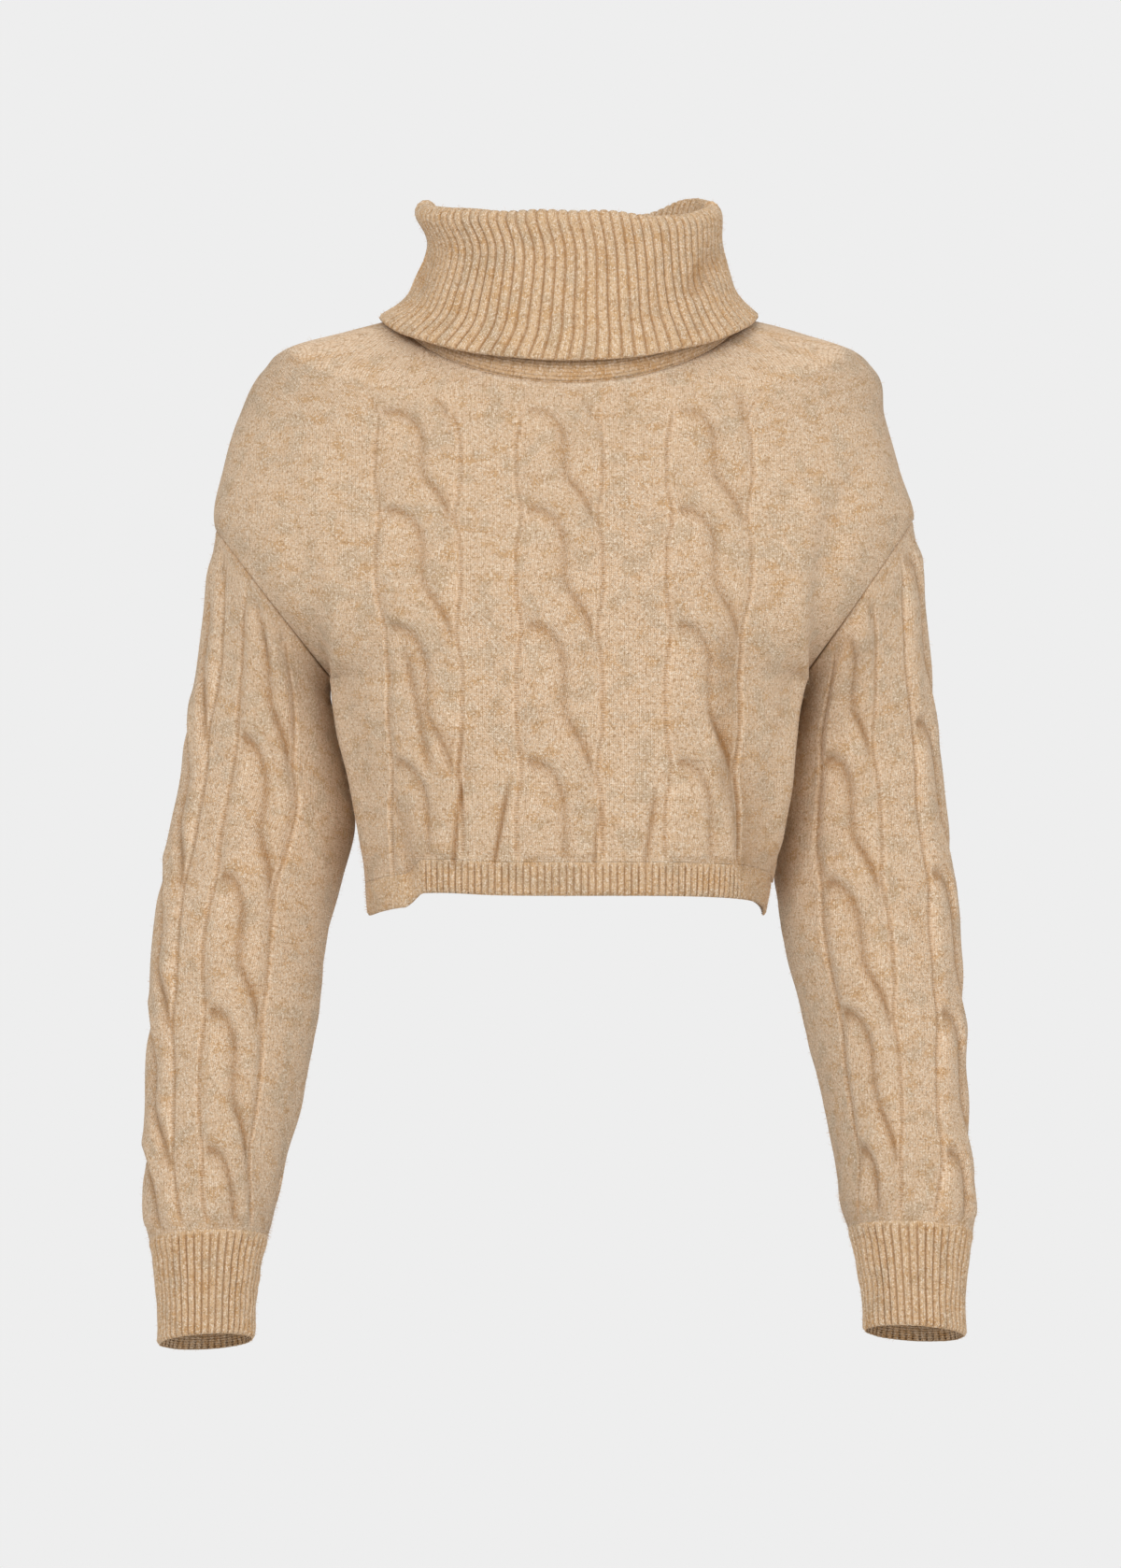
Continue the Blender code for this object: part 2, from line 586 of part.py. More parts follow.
def tube_wall(name, outer, inner, row_step, keep_cols, places, loop, seam, colour):
    """A closed wall round a tube, or along a strip where loop is None.

    places are the columns' places and loop the distance round. seam holds the outer and
    inner points, and their places, of the line shared with the piece above; it stands in
    for the grids' first row.
    """
    outer, inner = outer[1:], inner[1:]
    keep_rows = sorted(set(range(0, len(inner), row_step)) | {len(inner) - 1})
    kept = inner[np.ix_(keep_rows, keep_cols)]
    seam_outer, seam_inner, seam_at = seam
    front = np.arange(outer.shape[0] * outer.shape[1]).reshape(outer.shape[:2])
    back = front.size + np.arange(kept.shape[0] * kept.shape[1]).reshape(kept.shape[:2])
    rim = front.size + back.size + np.arange(2 * len(seam_outer)).reshape(2, -1)
    at = np.asarray(places, float)
    kept_at = at[keep_cols]
    if loop:
        front, back, rim = [np.concatenate([g, g[:, :1]], axis=1) for g in (front, back, rim)]
        at, kept_at, seam_at = [np.append(g, g[0] + loop) for g in (at, kept_at, seam_at)]
    faces = []
    for grid in (front, back, rim):
        quads(faces, grid)
    stitch(faces, rim[0], seam_at, front[0], at)
    stitch(faces, rim[1], seam_at, back[0], kept_at)
    stitch(faces, front[-1], at, back[-1], kept_at)
    if not loop:
        for end in (0, -1):
            outside = np.insert(front[:, end], 0, rim[0, end])
            inside = np.insert(back[:, end], 0, rim[1, end])
            stitch(faces, outside, [-1, *range(len(outer))], inside, [-1, *keep_rows])
    points = np.concatenate([outer.reshape(-1, 3), kept.reshape(-1, 3), seam_outer, seam_inner])
    return cloth_object(name, points, faces, colour)


def cloth_object(name, points, faces, colour):
    """An object in the part's collection from points in millimetres and faces."""
    mesh = bpy.data.meshes.new(name)
    mesh.from_pydata((points * MM).tolist(), [], [tuple(int(i) for i in f) for f in faces])
    shaped = bmesh.new()
    shaped.from_mesh(mesh)
    bmesh.ops.recalc_face_normals(shaped, faces=shaped.faces)
    shaped.to_mesh(mesh)
    shaped.free()
    mesh.materials.append(wool(name, colour))
    body = bpy.data.objects.new(name, mesh)
    bpy.data.collections[NAME].objects.link(body)
    mesh.calc_loop_triangles()
    print(name, "triangles", len(mesh.loop_triangles))
    return body


def wool(name, colour):
    """Matte brushed knit in its own material."""
    material = bpy.data.materials.new(name + "_wool")
    material.use_nodes = True
    shader = material.node_tree.nodes["Principled BSDF"]
    shader.inputs["Base Color"].default_value = (*colour, 1.0)
    shader.inputs["Roughness"].default_value = 0.9
    shader.inputs["Metallic"].default_value = 0.0
    return material


# Sleeves and cuffs.


def tube_rings(table, t, turn):
    """Ring points of a sleeve or cuff at t (0 to 1) and turn (0 outer, pi inner line)."""
    s = columns(table, SLEEVE_COLUMNS)
    places = np.linspace(0, 1, len(table))
    outer_x, outer_z = spline(t, places, s["outer_x"]), spline(t, places, s["outer_z"])
    inner_x, inner_z = spline(t, places, s["inner_x"]), spline(t, places, s["inner_z"])
    depth, mid = spline(t, places, s["depth"]), spline(t, places, s["y"])
    tilt = np.radians(spline(t, places, s["tilt"]))
    c, sn = np.cos(turn), np.sin(turn)
    x = (outer_x + inner_x) / 2 + (outer_x - inner_x) / 2 * c
    y = mid - depth * sn * np.cos(tilt)
    z = (outer_z + inner_z) / 2 + (outer_z - inner_z) / 2 * c + depth * sn * np.sin(tilt)
    return blend((x, y, z))


def cuff_seam(hand, turn):
    """Points, normals and the way down on the ring where the sleeve meets its cuff."""
    points = tube_rings(CUFFS[hand], 0.0, turn)
    first = CUFFS[hand][0]
    half, depth, tilt = (abs(first[0] - first[2]) / 2, first[4], math.radians(first[6]))
    lean = np.sin(turn) / depth
    out = unit(blend((hand * np.cos(turn) / half, -lean * math.cos(tilt), lean * math.sin(tilt))))
    ahead = tube_rings(CUFFS[hand], 0.0, turn + 0.01)
    down = unit(np.cross(out, ahead - points))
    return points, out, down * -np.sign(np.sum(down[:, 2]))


def sleeve_columns(hand):
    """Column places round a sleeve from its outer line, on each cable's lines."""
    centres = SLEEVE_CABLES[hand]
    places = [c + SLEEVE_CABLE_HALF * o for c in centres for o in SLEEVE_CABLE_COLS]
    places += [(a + b) / 2 for a, b in zip(centres[:-1], centres[1:])]
    places += [*SLEEVE_PLAIN_COLS, SLEEVE_HALF_ROUND]
    return np.array(sorted(places)) / SLEEVE_HALF_ROUND


def sleeve_turns(hand, t):
    """Turns round the sleeve of its columns, at t (0 armhole, 1 cuff)."""
    u = sleeve_columns(hand)
    s = columns(SLEEVES[hand], SLEEVE_COLUMNS)
    places = np.linspace(0, 1, len(SLEEVES[hand]))
    tall = spline(t, places, s["outer_z"] - s["inner_z"])
    breadth = np.hypot(spline(t, places, s["outer_x"] - s["inner_x"]), tall) / 2
    around = math.pi / 2 * (breadth + spline(t, places, s["depth"]))
    reach = np.abs(u)
    run = SLEEVE_HALF_ROUND * reach + (around - SLEEVE_HALF_ROUND) * reach**SLEEVE_SPREAD
    return np.sign(u) * np.pi * run / around


def sleeve(name, hand):
    """A sleeve tube with four cables, from the armhole seam down to the cuff."""
    u = sleeve_columns(hand)
    t = np.linspace(0, 1, SLEEVE_ROWS + 1)[:, None]
    turn = sleeve_turns(hand, t)
    base = tube_rings(SLEEVES[hand], t, turn)
    centre = base.mean(axis=1, keepdims=True)
    normals = grid_normals(base, True, base - centre)

    wale = np.broadcast_to(u * SLEEVE_HALF_ROUND, base.shape[:2])
    along = np.broadcast_to(centre[..., 2], wale.shape)
    rise = np.zeros(wale.shape)
    for cable in SLEEVE_CABLES[hand]:
        across = wale - cable
        if hand > 0:
            across = -across
        near = np.abs(across) < SLEEVE_CABLE_HALF + CABLE_MARGIN
        rise += np.where(near, cable_relief(across, along, SLEEVE_CABLE_HALF, SLEEVE_CROSSING), 0.0)
    rise[0], rise[-1] = 0.0, 0.0
    rise[1] *= 0.6

    gap = SEAM_GAP / 2
    base[-1], normals[-1], down = cuff_seam(hand, turn[-1])
    base[-1] -= gap * down

    outer = base + normals * rise[..., None]
    inner = base - normals * WALL
    keep_cols = list(range(0, len(u), SLEEVE_KEEP_COLS))
    step = math.pi / ARMHOLE_ROWS
    seam_turn = np.arange(1 - ARMHOLE_ROWS, ARMHOLE_ROWS + 1) * step
    hole_front = ring_points(hand, math.pi - np.abs(seam_turn), -1)
    hole_back = ring_points(hand, math.pi - np.abs(seam_turn), 1)
    on_front = (seam_turn >= 0)[:, None]
    hole, hole_normals, outward = [np.where(on_front, f, b) for f, b in zip(hole_front, hole_back)]
    hole = hole + gap * outward
    seam = (hole, hole - hole_normals * WALL, seam_turn)
    places = turn.mean(axis=0)
    return tube_wall(name, outer, inner, SLEEVE_KEEP_ROWS, keep_cols, places, 2 * math.pi, seam, WOOL)


def rib_wave(count):
    """Two columns for each rib: a ridge, then a groove."""
    return np.tile([1.0, RIB_GROOVE], count)


def cuff(name, hand):
    """A ribbed cuff band, from the sleeve's end to the open wrist."""
    turn = np.linspace(-math.pi, math.pi, 2 * CUFF_RIBS + 1)[1:]
    base = tube_rings(CUFFS[hand], np.array(CUFF_ROWS)[:, None], turn)
    normals = grid_normals(base, True, base - base.mean(axis=1, keepdims=True))
    outer = base + normals * (FINE_RIB * rib_wave(CUFF_RIBS))[:, None]
    inner = base - normals * WALL
    seam_turn = sleeve_turns(hand, 1.0)
    ring, out, down = cuff_seam(hand, seam_turn)
    ring = ring + SEAM_GAP / 2 * down
    seam = (ring, ring - out * WALL, seam_turn)
    keep_cols = list(range(0, 2 * CUFF_RIBS, CUFF_KEEP_COLS))
    return tube_wall(name, outer, inner, 1, keep_cols, turn, 2 * math.pi, seam, RIB_WOOL)


# Hem.


def hem_seam(face):
    """Points and level normals of a panel's lower edge, before its seam gap."""
    base, normals, _, _, _, _ = panel_grid(face, panel_columns(face > 0))
    out = unit(normals[0] * np.array([1.0, 1.0, 0.0]))
    out[0], out[-1] = (-1.0, 0.0, 0.0), (1.0, 0.0, 0.0)
    line = base[0].copy()
    line[[0, -1], 1] += face * SEAM_GAP / 2
    return line, out


def hem_rib(name, face):
    """The fine rib below a body panel."""
    u = np.linspace(-1, 1, 2 * HEM_RIBS + 1)
    side = np.where(u < 0, -1, 1)
    top_z = HEM_SEAM_MIDDLE + (HEM_SEAM_SIDE - HEM_SEAM_MIDDLE) * hem_share(u, face)
    drop = np.array([0.0, HEM_TOP_ROW, HEM_RIB_HEIGHT])[:, None]
    z = top_z - drop
    hands = np.broadcast_to(side, z.shape)
    half, depth, mid, power, _ = torso_section(z, hands, face)
    full = arc_to(math.pi / 2, half, depth)
    run = spread_run(np.abs(u), full)
    angle = np.minimum(angle_at(run, half, depth), math.pi / 2)
    y = mid + face * depth * np.maximum(0.0, np.cos(angle)) ** power
    base = blend((hands * half * np.sin(angle), y, z))
    normals = grid_normals(base, False, np.array([0.0, float(face), 0.0]))
    for hand, col in ((-1, 0), (1, -1)):
        normals[:, col] = np.array([float(hand), 0.0, 0.0])
    normals = unit(normals * np.array([1.0, 1.0, 0.0]))
    base[:, [0, -1], 1] += face * SEAM_GAP / 2
    wave = np.append(rib_wave(HEM_RIBS), 1.0)
    wave[:2], wave[-2:] = 0.0, 0.0
    outer = base + normals * (FINE_RIB * wave)[:, None]
    inner = base - normals * WALL
    seam_line, seam_out = hem_seam(face)
    seam_line[:, 2] -= SEAM_GAP / 2
    seam = (seam_line, seam_line - seam_out * WALL, panel_columns(face > 0))
    keep_cols = list(range(0, HEM_MIDDLE_FROM, HEM_KEEP_SIDE))
    keep_cols += range(HEM_MIDDLE_FROM, HEM_MIDDLE_TO, HEM_KEEP_MIDDLE)
    keep_cols += range(HEM_MIDDLE_TO, 2 * HEM_RIBS + 1, HEM_KEEP_SIDE)
    return tube_wall(name, outer, inner, 1, keep_cols, u, None, seam, RIB_WOOL)


# Collar.


def roll_collar(name):
    """The collar strip: up the stand, over the fold and down the turned layer."""
    turn = -math.pi / 2 + np.linspace(0, 2 * math.pi, 2 * COLLAR_RIBS, endpoint=False)
    c = columns(COLLAR, COLLAR_COLUMNS)
    front = np.cos(turn) > 0
    near = np.abs(np.cos(turn))
    rows = []
    for k in range(len(COLLAR)):
        deep = np.where(front, c["front_y"][k], c["back_y"][k])
        high = np.where(front, c["front_z"][k], c["back_z"][k])
        y = COLLAR_SIDE_Y + (deep - COLLAR_SIDE_Y) * near
        z = c["side_z"][k] + (high - c["side_z"][k]) * near ** COLLAR_FALL[k]
        x = c["shift"][k] + c["half_width"][k] * np.sin(turn)
        z -= front * RIM_DIP[k] * np.exp(-(((x - RIM_DIP_X) / RIM_DIP_WIDTH) ** 2))
        lift = np.exp(-(((np.sin(turn) - RIM_LIFT_AT) / RIM_LIFT_WIDTH) ** 2)) * ease(near / RIM_LIFT_EDGE)
        z += ~front * RIM_LIFT[k] * lift
        rows.append(blend((x, y, z)))
    path = np.array(rows)
    along = np.gradient(path, axis=0)
    wide = np.concatenate([path[:, -1:], path, path[:, :1]], axis=1)
    across = np.gradient(wide, axis=1)[:, 1:-1]
    normals = unit(np.cross(across, along))
    out = path[-3] - path[-3].mean(axis=0)
    normals *= np.sign(np.sum(normals[-3] * out))
    wave = np.append(np.ones(len(COLLAR) - 1), COLLAR_EDGE_SHARE)[:, None] * rib_wave(COLLAR_RIBS)
    outer = path + normals * (COLLAR_WALL / 2 + COLLAR_RIB * wave[..., None])
    inner = path - normals * COLLAR_WALL / 2
    seam_turn = np.append(neck_turns(-1, panel_columns(False)), neck_turns(1, panel_columns(True))[-2:0:-1])
    ring, out = neck_point(seam_turn)
    ring = ring + SEAM_GAP / 2 * neck_rise(seam_turn)
    seam = (ring - out * COLLAR_WALL, ring, seam_turn)
    keep_cols = list(range(0, 2 * COLLAR_RIBS, COLLAR_KEEP_COLS))
    return tube_wall(name, outer, inner, 1, keep_cols, turn, 2 * math.pi, seam, RIB_WOOL)


def main():
    for old in list(bpy.data.objects):
        bpy.data.objects.remove(old, do_unlink=True)
    collection = bpy.data.collections.new(NAME)
    bpy.context.scene.collection.children.link(collection)
    panel("front_panel", -1, False)
    panel("back_panel", 1, True)
    for hand, side in ((-1, "left"), (1, "right")):
        sleeve("sleeve_" + side, hand)
        cuff("cuff_" + side, hand)
    hem_rib("hem_rib_front", -1)
    hem_rib("hem_rib_back", 1)
    roll_collar("roll_collar")


main()
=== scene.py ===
# Cropped cable-knit roll-neck sweater in its hollow worn form.
# Each knitted piece is one thin shell on the form of its CAD solid, with the cables, ribs,
# seams and creases at full detail. Lengths are in millimetres until a mesh is made.
import math

import bpy
import numpy as np
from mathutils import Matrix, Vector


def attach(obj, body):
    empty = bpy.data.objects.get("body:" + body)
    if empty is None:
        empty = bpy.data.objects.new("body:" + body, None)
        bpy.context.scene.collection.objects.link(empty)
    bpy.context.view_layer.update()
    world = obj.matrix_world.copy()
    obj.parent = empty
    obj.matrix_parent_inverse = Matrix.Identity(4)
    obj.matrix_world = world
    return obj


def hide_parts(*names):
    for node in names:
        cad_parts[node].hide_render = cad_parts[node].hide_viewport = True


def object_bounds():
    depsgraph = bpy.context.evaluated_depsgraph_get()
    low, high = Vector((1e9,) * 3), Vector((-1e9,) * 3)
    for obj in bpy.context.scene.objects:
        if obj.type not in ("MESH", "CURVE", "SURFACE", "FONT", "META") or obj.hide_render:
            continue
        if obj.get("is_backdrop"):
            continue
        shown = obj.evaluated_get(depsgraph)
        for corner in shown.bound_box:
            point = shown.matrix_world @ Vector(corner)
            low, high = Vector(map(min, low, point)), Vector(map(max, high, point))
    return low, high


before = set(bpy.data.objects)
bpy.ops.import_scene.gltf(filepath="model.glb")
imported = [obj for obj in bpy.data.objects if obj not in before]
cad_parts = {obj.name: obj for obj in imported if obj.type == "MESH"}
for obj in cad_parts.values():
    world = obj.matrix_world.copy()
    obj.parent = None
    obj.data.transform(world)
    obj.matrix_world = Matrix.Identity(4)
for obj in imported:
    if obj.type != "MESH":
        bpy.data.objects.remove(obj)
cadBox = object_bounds()
print("frame loaded")

mm = 0.001
wall = 2.4  # cloth thickness, but for the collar
# painted shade laid on the inner faces, where shade falls inside the garment
insidePaintedShade = 0.35  # shade of the inner faces

# Small maths


def readTable(names, rows):
    # named columns of a table as arrays
    return dict(zip(names.split(), np.array(rows, float).T))


def spline(at, xs, ys):
    # smooth curve through the points xs (rising), ys: cubic between knots, slopes from neighbours
    xs, ys = np.asarray(xs, float), np.asarray(ys, float)
    slopes = np.gradient(ys, xs)
    k = np.clip(np.searchsorted(xs, at) - 1, 0, len(xs) - 2)
    span = xs[k + 1] - xs[k]
    t = np.clip((at - xs[k]) / span, 0.0, 1.0)
    rise = (3 - 2 * t) * t * t
    lean = t * (1 - t) * (slopes[k] * (1 - t) - slopes[k + 1] * t) * span
    return ys[k] + (ys[k + 1] - ys[k]) * rise + lean


def ease(t):
    # 0 below 0, 1 above 1, smooth between
    t = np.clip(t, 0.0, 1.0)
    return t * t * (3 - 2 * t)


def hump(x, width):
    # bell curve, 1 at 0
    return np.exp(-((x / width) ** 2))


def unit(v):
    return v / np.maximum(np.linalg.norm(v, axis=-1, keepdims=True), 1e-9)


def points3(x, y, z):
    return np.stack(np.broadcast_arrays(x, y, z), axis=-1).astype(float)


def gridNormals(points, closed, outward):
    # cross product of the two directions of a grid, turned to the side that outward points to
    if closed:
        wide = np.concatenate([points[:, -1:], points, points[:, :1]], axis=1)
        across = np.gradient(wide, axis=1)[:, 1:-1]
    else:
        across = np.gradient(points, axis=1)
    normals = unit(np.cross(across, np.gradient(points, axis=0)))
    return normals * np.sign(np.sum(normals * outward))


def softNoise(x, y, size, seed, waves=14):
    # smooth unevenness between about -1 and 1: a sum of plane waves of nearly one length,
    # over the square root of about twice their number
    draw = np.random.default_rng(seed)
    total = 0.0
    for _ in range(waves):
        angle, phase = draw.uniform(0, 2 * math.pi, 2)
        pitch = size * draw.uniform(0.7, 1.5)
        run = x * math.cos(angle) + y * math.sin(angle)
        total = total + np.sin(run * 2 * math.pi / pitch + phase)
    return total / math.sqrt(waves) / 1.4


# Form of the body

body = {
    # height of the hem's seam at the middle and the sides, and of the rib below it; columns
    # lie evenly as on this half-width, and spread towards the edge where the body is wider
    "hemMiddle": -342.0, "hemSide": -356.5, "hemHeight": 21.0, "halfWidth": 205.0,
    "spread": 3.0,
    # how rows fall towards the sides, as powers; and the hem at the front left corner, in
    # shares of the half-width and of the drop: a step (where, width, share), a slope (where,
    # width) and a lift (where, width, height)
    "rowDrop": 2.4, "hemRowDrop": 3.2, "hemRows": 5, "step": (0.49, 0.09, 0.62),
    "slope": (0.55, 0.35), "lift": (0.42, 0.14, 0.12), "stepBlend": 0.1,
    # rows up the side seam, round the armhole and along the shoulder, and the rows and the
    # power over which the top row closes on the neck
    "sideRows": 13, "holeRows": 8, "shoulderRows": 10, "neckRows": 1.6, "neckBlend": 1.5,
    # grid of the visible faces
    "frontRows": 264, "backRows": 216, "frontColumns": 272, "backColumns": 200,
    # unevenness of the cloth, and share of the front's creases on the back
    "unevenness": 0.7, "unevenSize": 55.0, "backCreases": 0.6,
    # wales draw together above gatherFrom, courses grow taller above growFrom
    "gatherFrom": 75.0, "gather": 0.5, "growFrom": 235.0, "grow": 0.0027,
}
torso = readTable(
    "z left right front back midLeft midRight round",
    [
        (-380, 129, 125, 103, 94, -14, -18, 0.80),
        (-343, 132, 132, 106, 96, -14, -19, 0.78),
        (-300, 138, 138, 110, 98, -14, -19, 0.74),
        (-265, 145, 141, 113, 99, -11, -16, 0.68),
        (-242, 150, 145, 114, 100, -4, -6, 0.64),
        (-225, 153, 149, 114, 101, 5, 5, 0.62),
        (-180, 188, 184, 113, 103, 5, 5, 0.62),
        (-130, 227, 220, 107, 103, 5, 5, 0.68),
        (-90, 222, 211, 100, 98, 5, 5, 0.78),
        (-57, 212, 202, 95, 91, 5, 5, 0.84),
        (-27, 196, 195, 88, 82, 5, 5, 0.88),
        (-15, 183, 181, 84, 77, 5, 5, 0.90),
        (-5, 150, 151, 80, 72, 5, 5, 0.90),
        (3, 121, 124, 77, 68, 5, 5, 0.90),
        (6, 110, 110, 75, 66, 5, 5, 0.90),
    ],
)
armhole = {
    -1: {"under": (-153.0, -225.0), "over": (-227.0, -130.0), "depth": 62.0},
    1: {"under": (149.0, -225.0), "over": (220.0, -124.0), "depth": 62.0},
}
neck = {
    "half": 110.0, "sideZ": 6.0, "sideY": 5.0, "frontY": -91.0, "frontZ": -43.0, "backY": 66.0,
    "backZ": 6.0, "fall": 1.3, "lean": 17.0, "sideLean": 28.0,
}


def torsoSection(z, side, face):
    # half-width, depth, seam y, roundness and edge angle of the body at height z; between
    # the underarm and the shoulder the edge angle stops on the armhole ring
    at = {key: spline(z, torso["z"], values) for key, values in torso.items()}
    half = np.where(side < 0, at["left"], at["right"])
    mid = np.where(side < 0, at["midLeft"], at["midRight"])
    power = at["round"]
    reachY = at["front" if face < 0 else "back"]
    depth = reachY - face * mid
    edge = np.full(np.shape(half), math.pi / 2)
    for hand, ring in armhole.items():
        (x0, z0), (x1, z1) = ring["under"], ring["over"]
        s = np.clip((z - z0) / (z1 - z0), 0.0, 1.0)
        inside = (side == hand) & (z > z0) & (z < z1)
        drop = ring["depth"] * np.sqrt(np.maximum(0.0, 1 - (1 - 2 * s) ** 2))
        angle = np.arccos(np.clip(drop / depth, 0.0, 1.0) ** (1 / power))
        atRing = abs(x0) + (abs(x1) - abs(x0)) * s
        half = np.where(inside, atRing / np.sin(angle), half)
        edge = np.where(inside, angle, edge)
    return half, depth, mid, power, edge


def arcTo(angle, a, b):
    # length of an ellipse's arc from its middle to the angle
    return (a + b) / 2 * angle + (a - b) / 4 * np.sin(2 * angle)


def angleAt(length, a, b):
    # the angle whose arc has this length, by repeated correction
    angle = 2 * length / (a + b)
    for _ in range(14):
        angle = (length - (a - b) / 4 * np.sin(2 * angle)) * 2 / (a + b)
    return angle


def edgeHeight(hand, v):
    # height of a panel's side edge at row v: up the side seam, round the armhole, then
    # along the shoulder ridge at even steps of its length
    under, over = armhole[hand]["under"][1], armhole[hand]["over"][1]
    z = np.linspace(over, neck["sideZ"], 200)
    x = spline(z, torso["z"], torso["left" if hand < 0 else "right"])
    run = np.concatenate([[0.0], np.cumsum(np.hypot(np.diff(x), np.diff(z)))])
    first, last = body["sideRows"], body["sideRows"] + body["holeRows"]
    seam = body["hemSide"] + (under - body["hemSide"]) * v / first
    hole = under + (over - under) * (1 - np.cos(math.pi * (v - first) / body["holeRows"])) / 2
    ridge = np.interp((v - last) / body["shoulderRows"] * run[-1], run, z)
    return np.where(v < first, seam, np.where(v < last, hole, ridge))


def spreadRun(reach, full):
    # distance from the middle at reach 0 to 1, spreading towards the edge
    return body["halfWidth"] * reach + (full - body["halfWidth"]) * reach ** body["spread"]


def neckPoint(turn):
    # points and outward normals on the neck ring; turn 0 is the front, a quarter turn +X
    front = np.cos(turn) > 0
    c = np.abs(np.cos(turn))
    middleY = np.where(front, neck["frontY"], neck["backY"])
    middleZ = np.where(front, neck["frontZ"], neck["backZ"])
    y = neck["sideY"] + (middleY - neck["sideY"]) * c
    z = neck["sideZ"] + (middleZ - neck["sideZ"]) * c ** neck["fall"]
    lift = np.radians(neck["lean"] + neck["sideLean"] * np.sin(turn) ** 2)
    normals = points3(np.sin(turn) * np.cos(lift), -np.cos(turn) * np.cos(lift), np.sin(lift))
    return points3(neck["half"] * np.sin(turn), y, z), normals


def neckTurns(face, u):
    # turns on the neck ring of a panel's columns
    depth = abs(neck["frontY"] if face < 0 else neck["backY"]) + neck["sideY"]
    run = spreadRun(np.abs(u), arcTo(math.pi / 2, neck["half"], depth))
    turn = np.sign(u) * np.minimum(angleAt(run, neck["half"], depth), math.pi / 2)
    return turn if face < 0 else math.pi - turn


def hemShare(u, face):
    # share of the hem's drop reached at column u: a power of its distance from the middle,
    # but a slight lift, a step and a slope at the front left corner
    reach = np.abs(u)
    at, width, share = body["step"]
    slopeAt, slopeWidth = body["slope"]
    liftAt, liftWidth, lift = body["lift"]
    step = share * ease((reach - at) / width) + (1 - share) * ease((reach - slopeAt) / slopeWidth)
    step = step - lift * hump(reach - liftAt, liftWidth)
    step = step + body["stepBlend"] * (reach ** body["hemRowDrop"] - step)
    return np.where((u < 0) & (face < 0), step, reach ** body["hemRowDrop"])


def sectionPoints(z, u, face):
    # the body's points at heights z in columns u, their signed and plain runs from the middle
    # and the run to the edge: x is half-width times the sine of the angle at that run, y the
    # depth times a power of its cosine
    hands = np.broadcast_to(np.where(u < 0, -1, 1), z.shape)
    half, depth, mid, power, edge = torsoSection(z, hands, face)
    full = arcTo(edge, half, depth)
    run = spreadRun(np.abs(u), full)
    angle = np.minimum(angleAt(run, half, depth), edge)
    y = mid + face * depth * np.maximum(0.0, np.cos(angle)) ** power
    return points3(hands * half * np.sin(angle), y, z), hands * run, run, full


def panelGrid(face, u, v):
    # front or back of the body: rows v rise from the hem seam, columns u run from -1 to 1.
    # z eases from the middle line's height to the edge's; the top row is the neck
    rows = body["sideRows"] + body["holeRows"] + body["shoulderRows"]
    v = v[:, None]
    edgeZ = np.where(u < 0, edgeHeight(-1, v), edgeHeight(1, v))
    top = neck["frontZ"] if face < 0 else neck["backZ"]
    middleZ = body["hemMiddle"] + (top - body["hemMiddle"]) * v / rows
    nearHem = np.clip(1 - v / body["hemRows"], 0.0, 1.0)
    share = np.abs(u) ** body["rowDrop"] * (1 - nearHem) + hemShare(u, face) * nearHem
    z = middleZ + (edgeZ - middleZ) * share
    points, wale, run, full = sectionPoints(z, u, face)
    atNeck, _ = neckPoint(neckTurns(face, u))
    blend = np.clip((v - rows + body["neckRows"]) / body["neckRows"], 0.0, 1.0)[..., None]
    points = points + (atNeck - points[-1]) * blend ** body["neckBlend"]
    spread = np.clip((z + body["gatherFrom"]) / body["gatherFrom"], 0.0, 1.0)
    wale = wale / (1 + body["gather"] * spread**2)
    course = z + body["grow"] / 2 * np.maximum(0.0, z + body["growFrom"]) ** 2
    return points, wale, course, run, full


# Knitted relief

# shade: how strongly the cables' painted shade and painted highlight are laid on
bodyCables = {
    "centres": (-95.0, -6.6, 87.0), "half": 28.0, "first": -279.0, "height": 1.0, "shade": 0.75,
}
sleeveCables = {"half": 23.0, "first": -270.0, "height": 1.3, "shade": 1.0}
sleeveCentres = {-1: (-105.0, -38.0, 27.0, 91.0), 1: (-105.0, -38.0, 31.0, 103.0)}
cable = {
    "pitch": 87.0,
    # the strands' backs: height, roundness and margins at the ladders
    "rise": 2.7, "round": 3.6, "edge": 4.0, "edgeInset": 1.5,
    # the groove: a sharp part and a wide one, each with its width, depth and painted shade
    "groove": 1.9, "grooveDepth": 0.42, "grooveShade": 0.55, "valley": 5.0, "valleyDepth": 0.45,
    "valleyShade": 0.4, "valleyAway": 2.5,
    # its way, in shares of the half-width across and of the pitch down; fade at the start in mm
    "start": -0.8, "run": 0.12, "arcEnd": 0.3, "tailStart": 0.6, "tailLength": 0.56,
    "tailEnd": 1.2, "endFade": 0.12, "startFade": 8.0,
    # on its way down first the right side lies over the left, then the left over the right
    "upperEnd": 0.4, "lowerStart": 0.62, "sideFade": 0.25, "sideAway": 4.5, "liftWidth": 4.0,
    "sinkWidth": 5.0, "over": 1.1, "under": 0.8,
    # the band that crosses over, with its painted highlight
    "crossing": 1.2, "crossingAt": 0.05, "crossingLength": 0.19, "bandSlope": 1.5,
    "bandWidth": 0.55, "bandHighlight": 0.35, "pinch": 0.14,
    # the ladder: a channel between two ridges, with painted shade in the channel and painted
    # highlight on the ridges
    "ladderInset": 1.0, "channel": 1.0, "channelWidth": 1.7, "channelShade": 0.6, "ridge": 0.6,
    "ridgeAway": 3.0, "ridgeWidth": 0.8, "ridgeHighlight": 0.9, "purlWidth": 2.2, "margin": 8.0,
    # lean of the wales
    "slant": 9.0, "slantRun": 0.11,
}


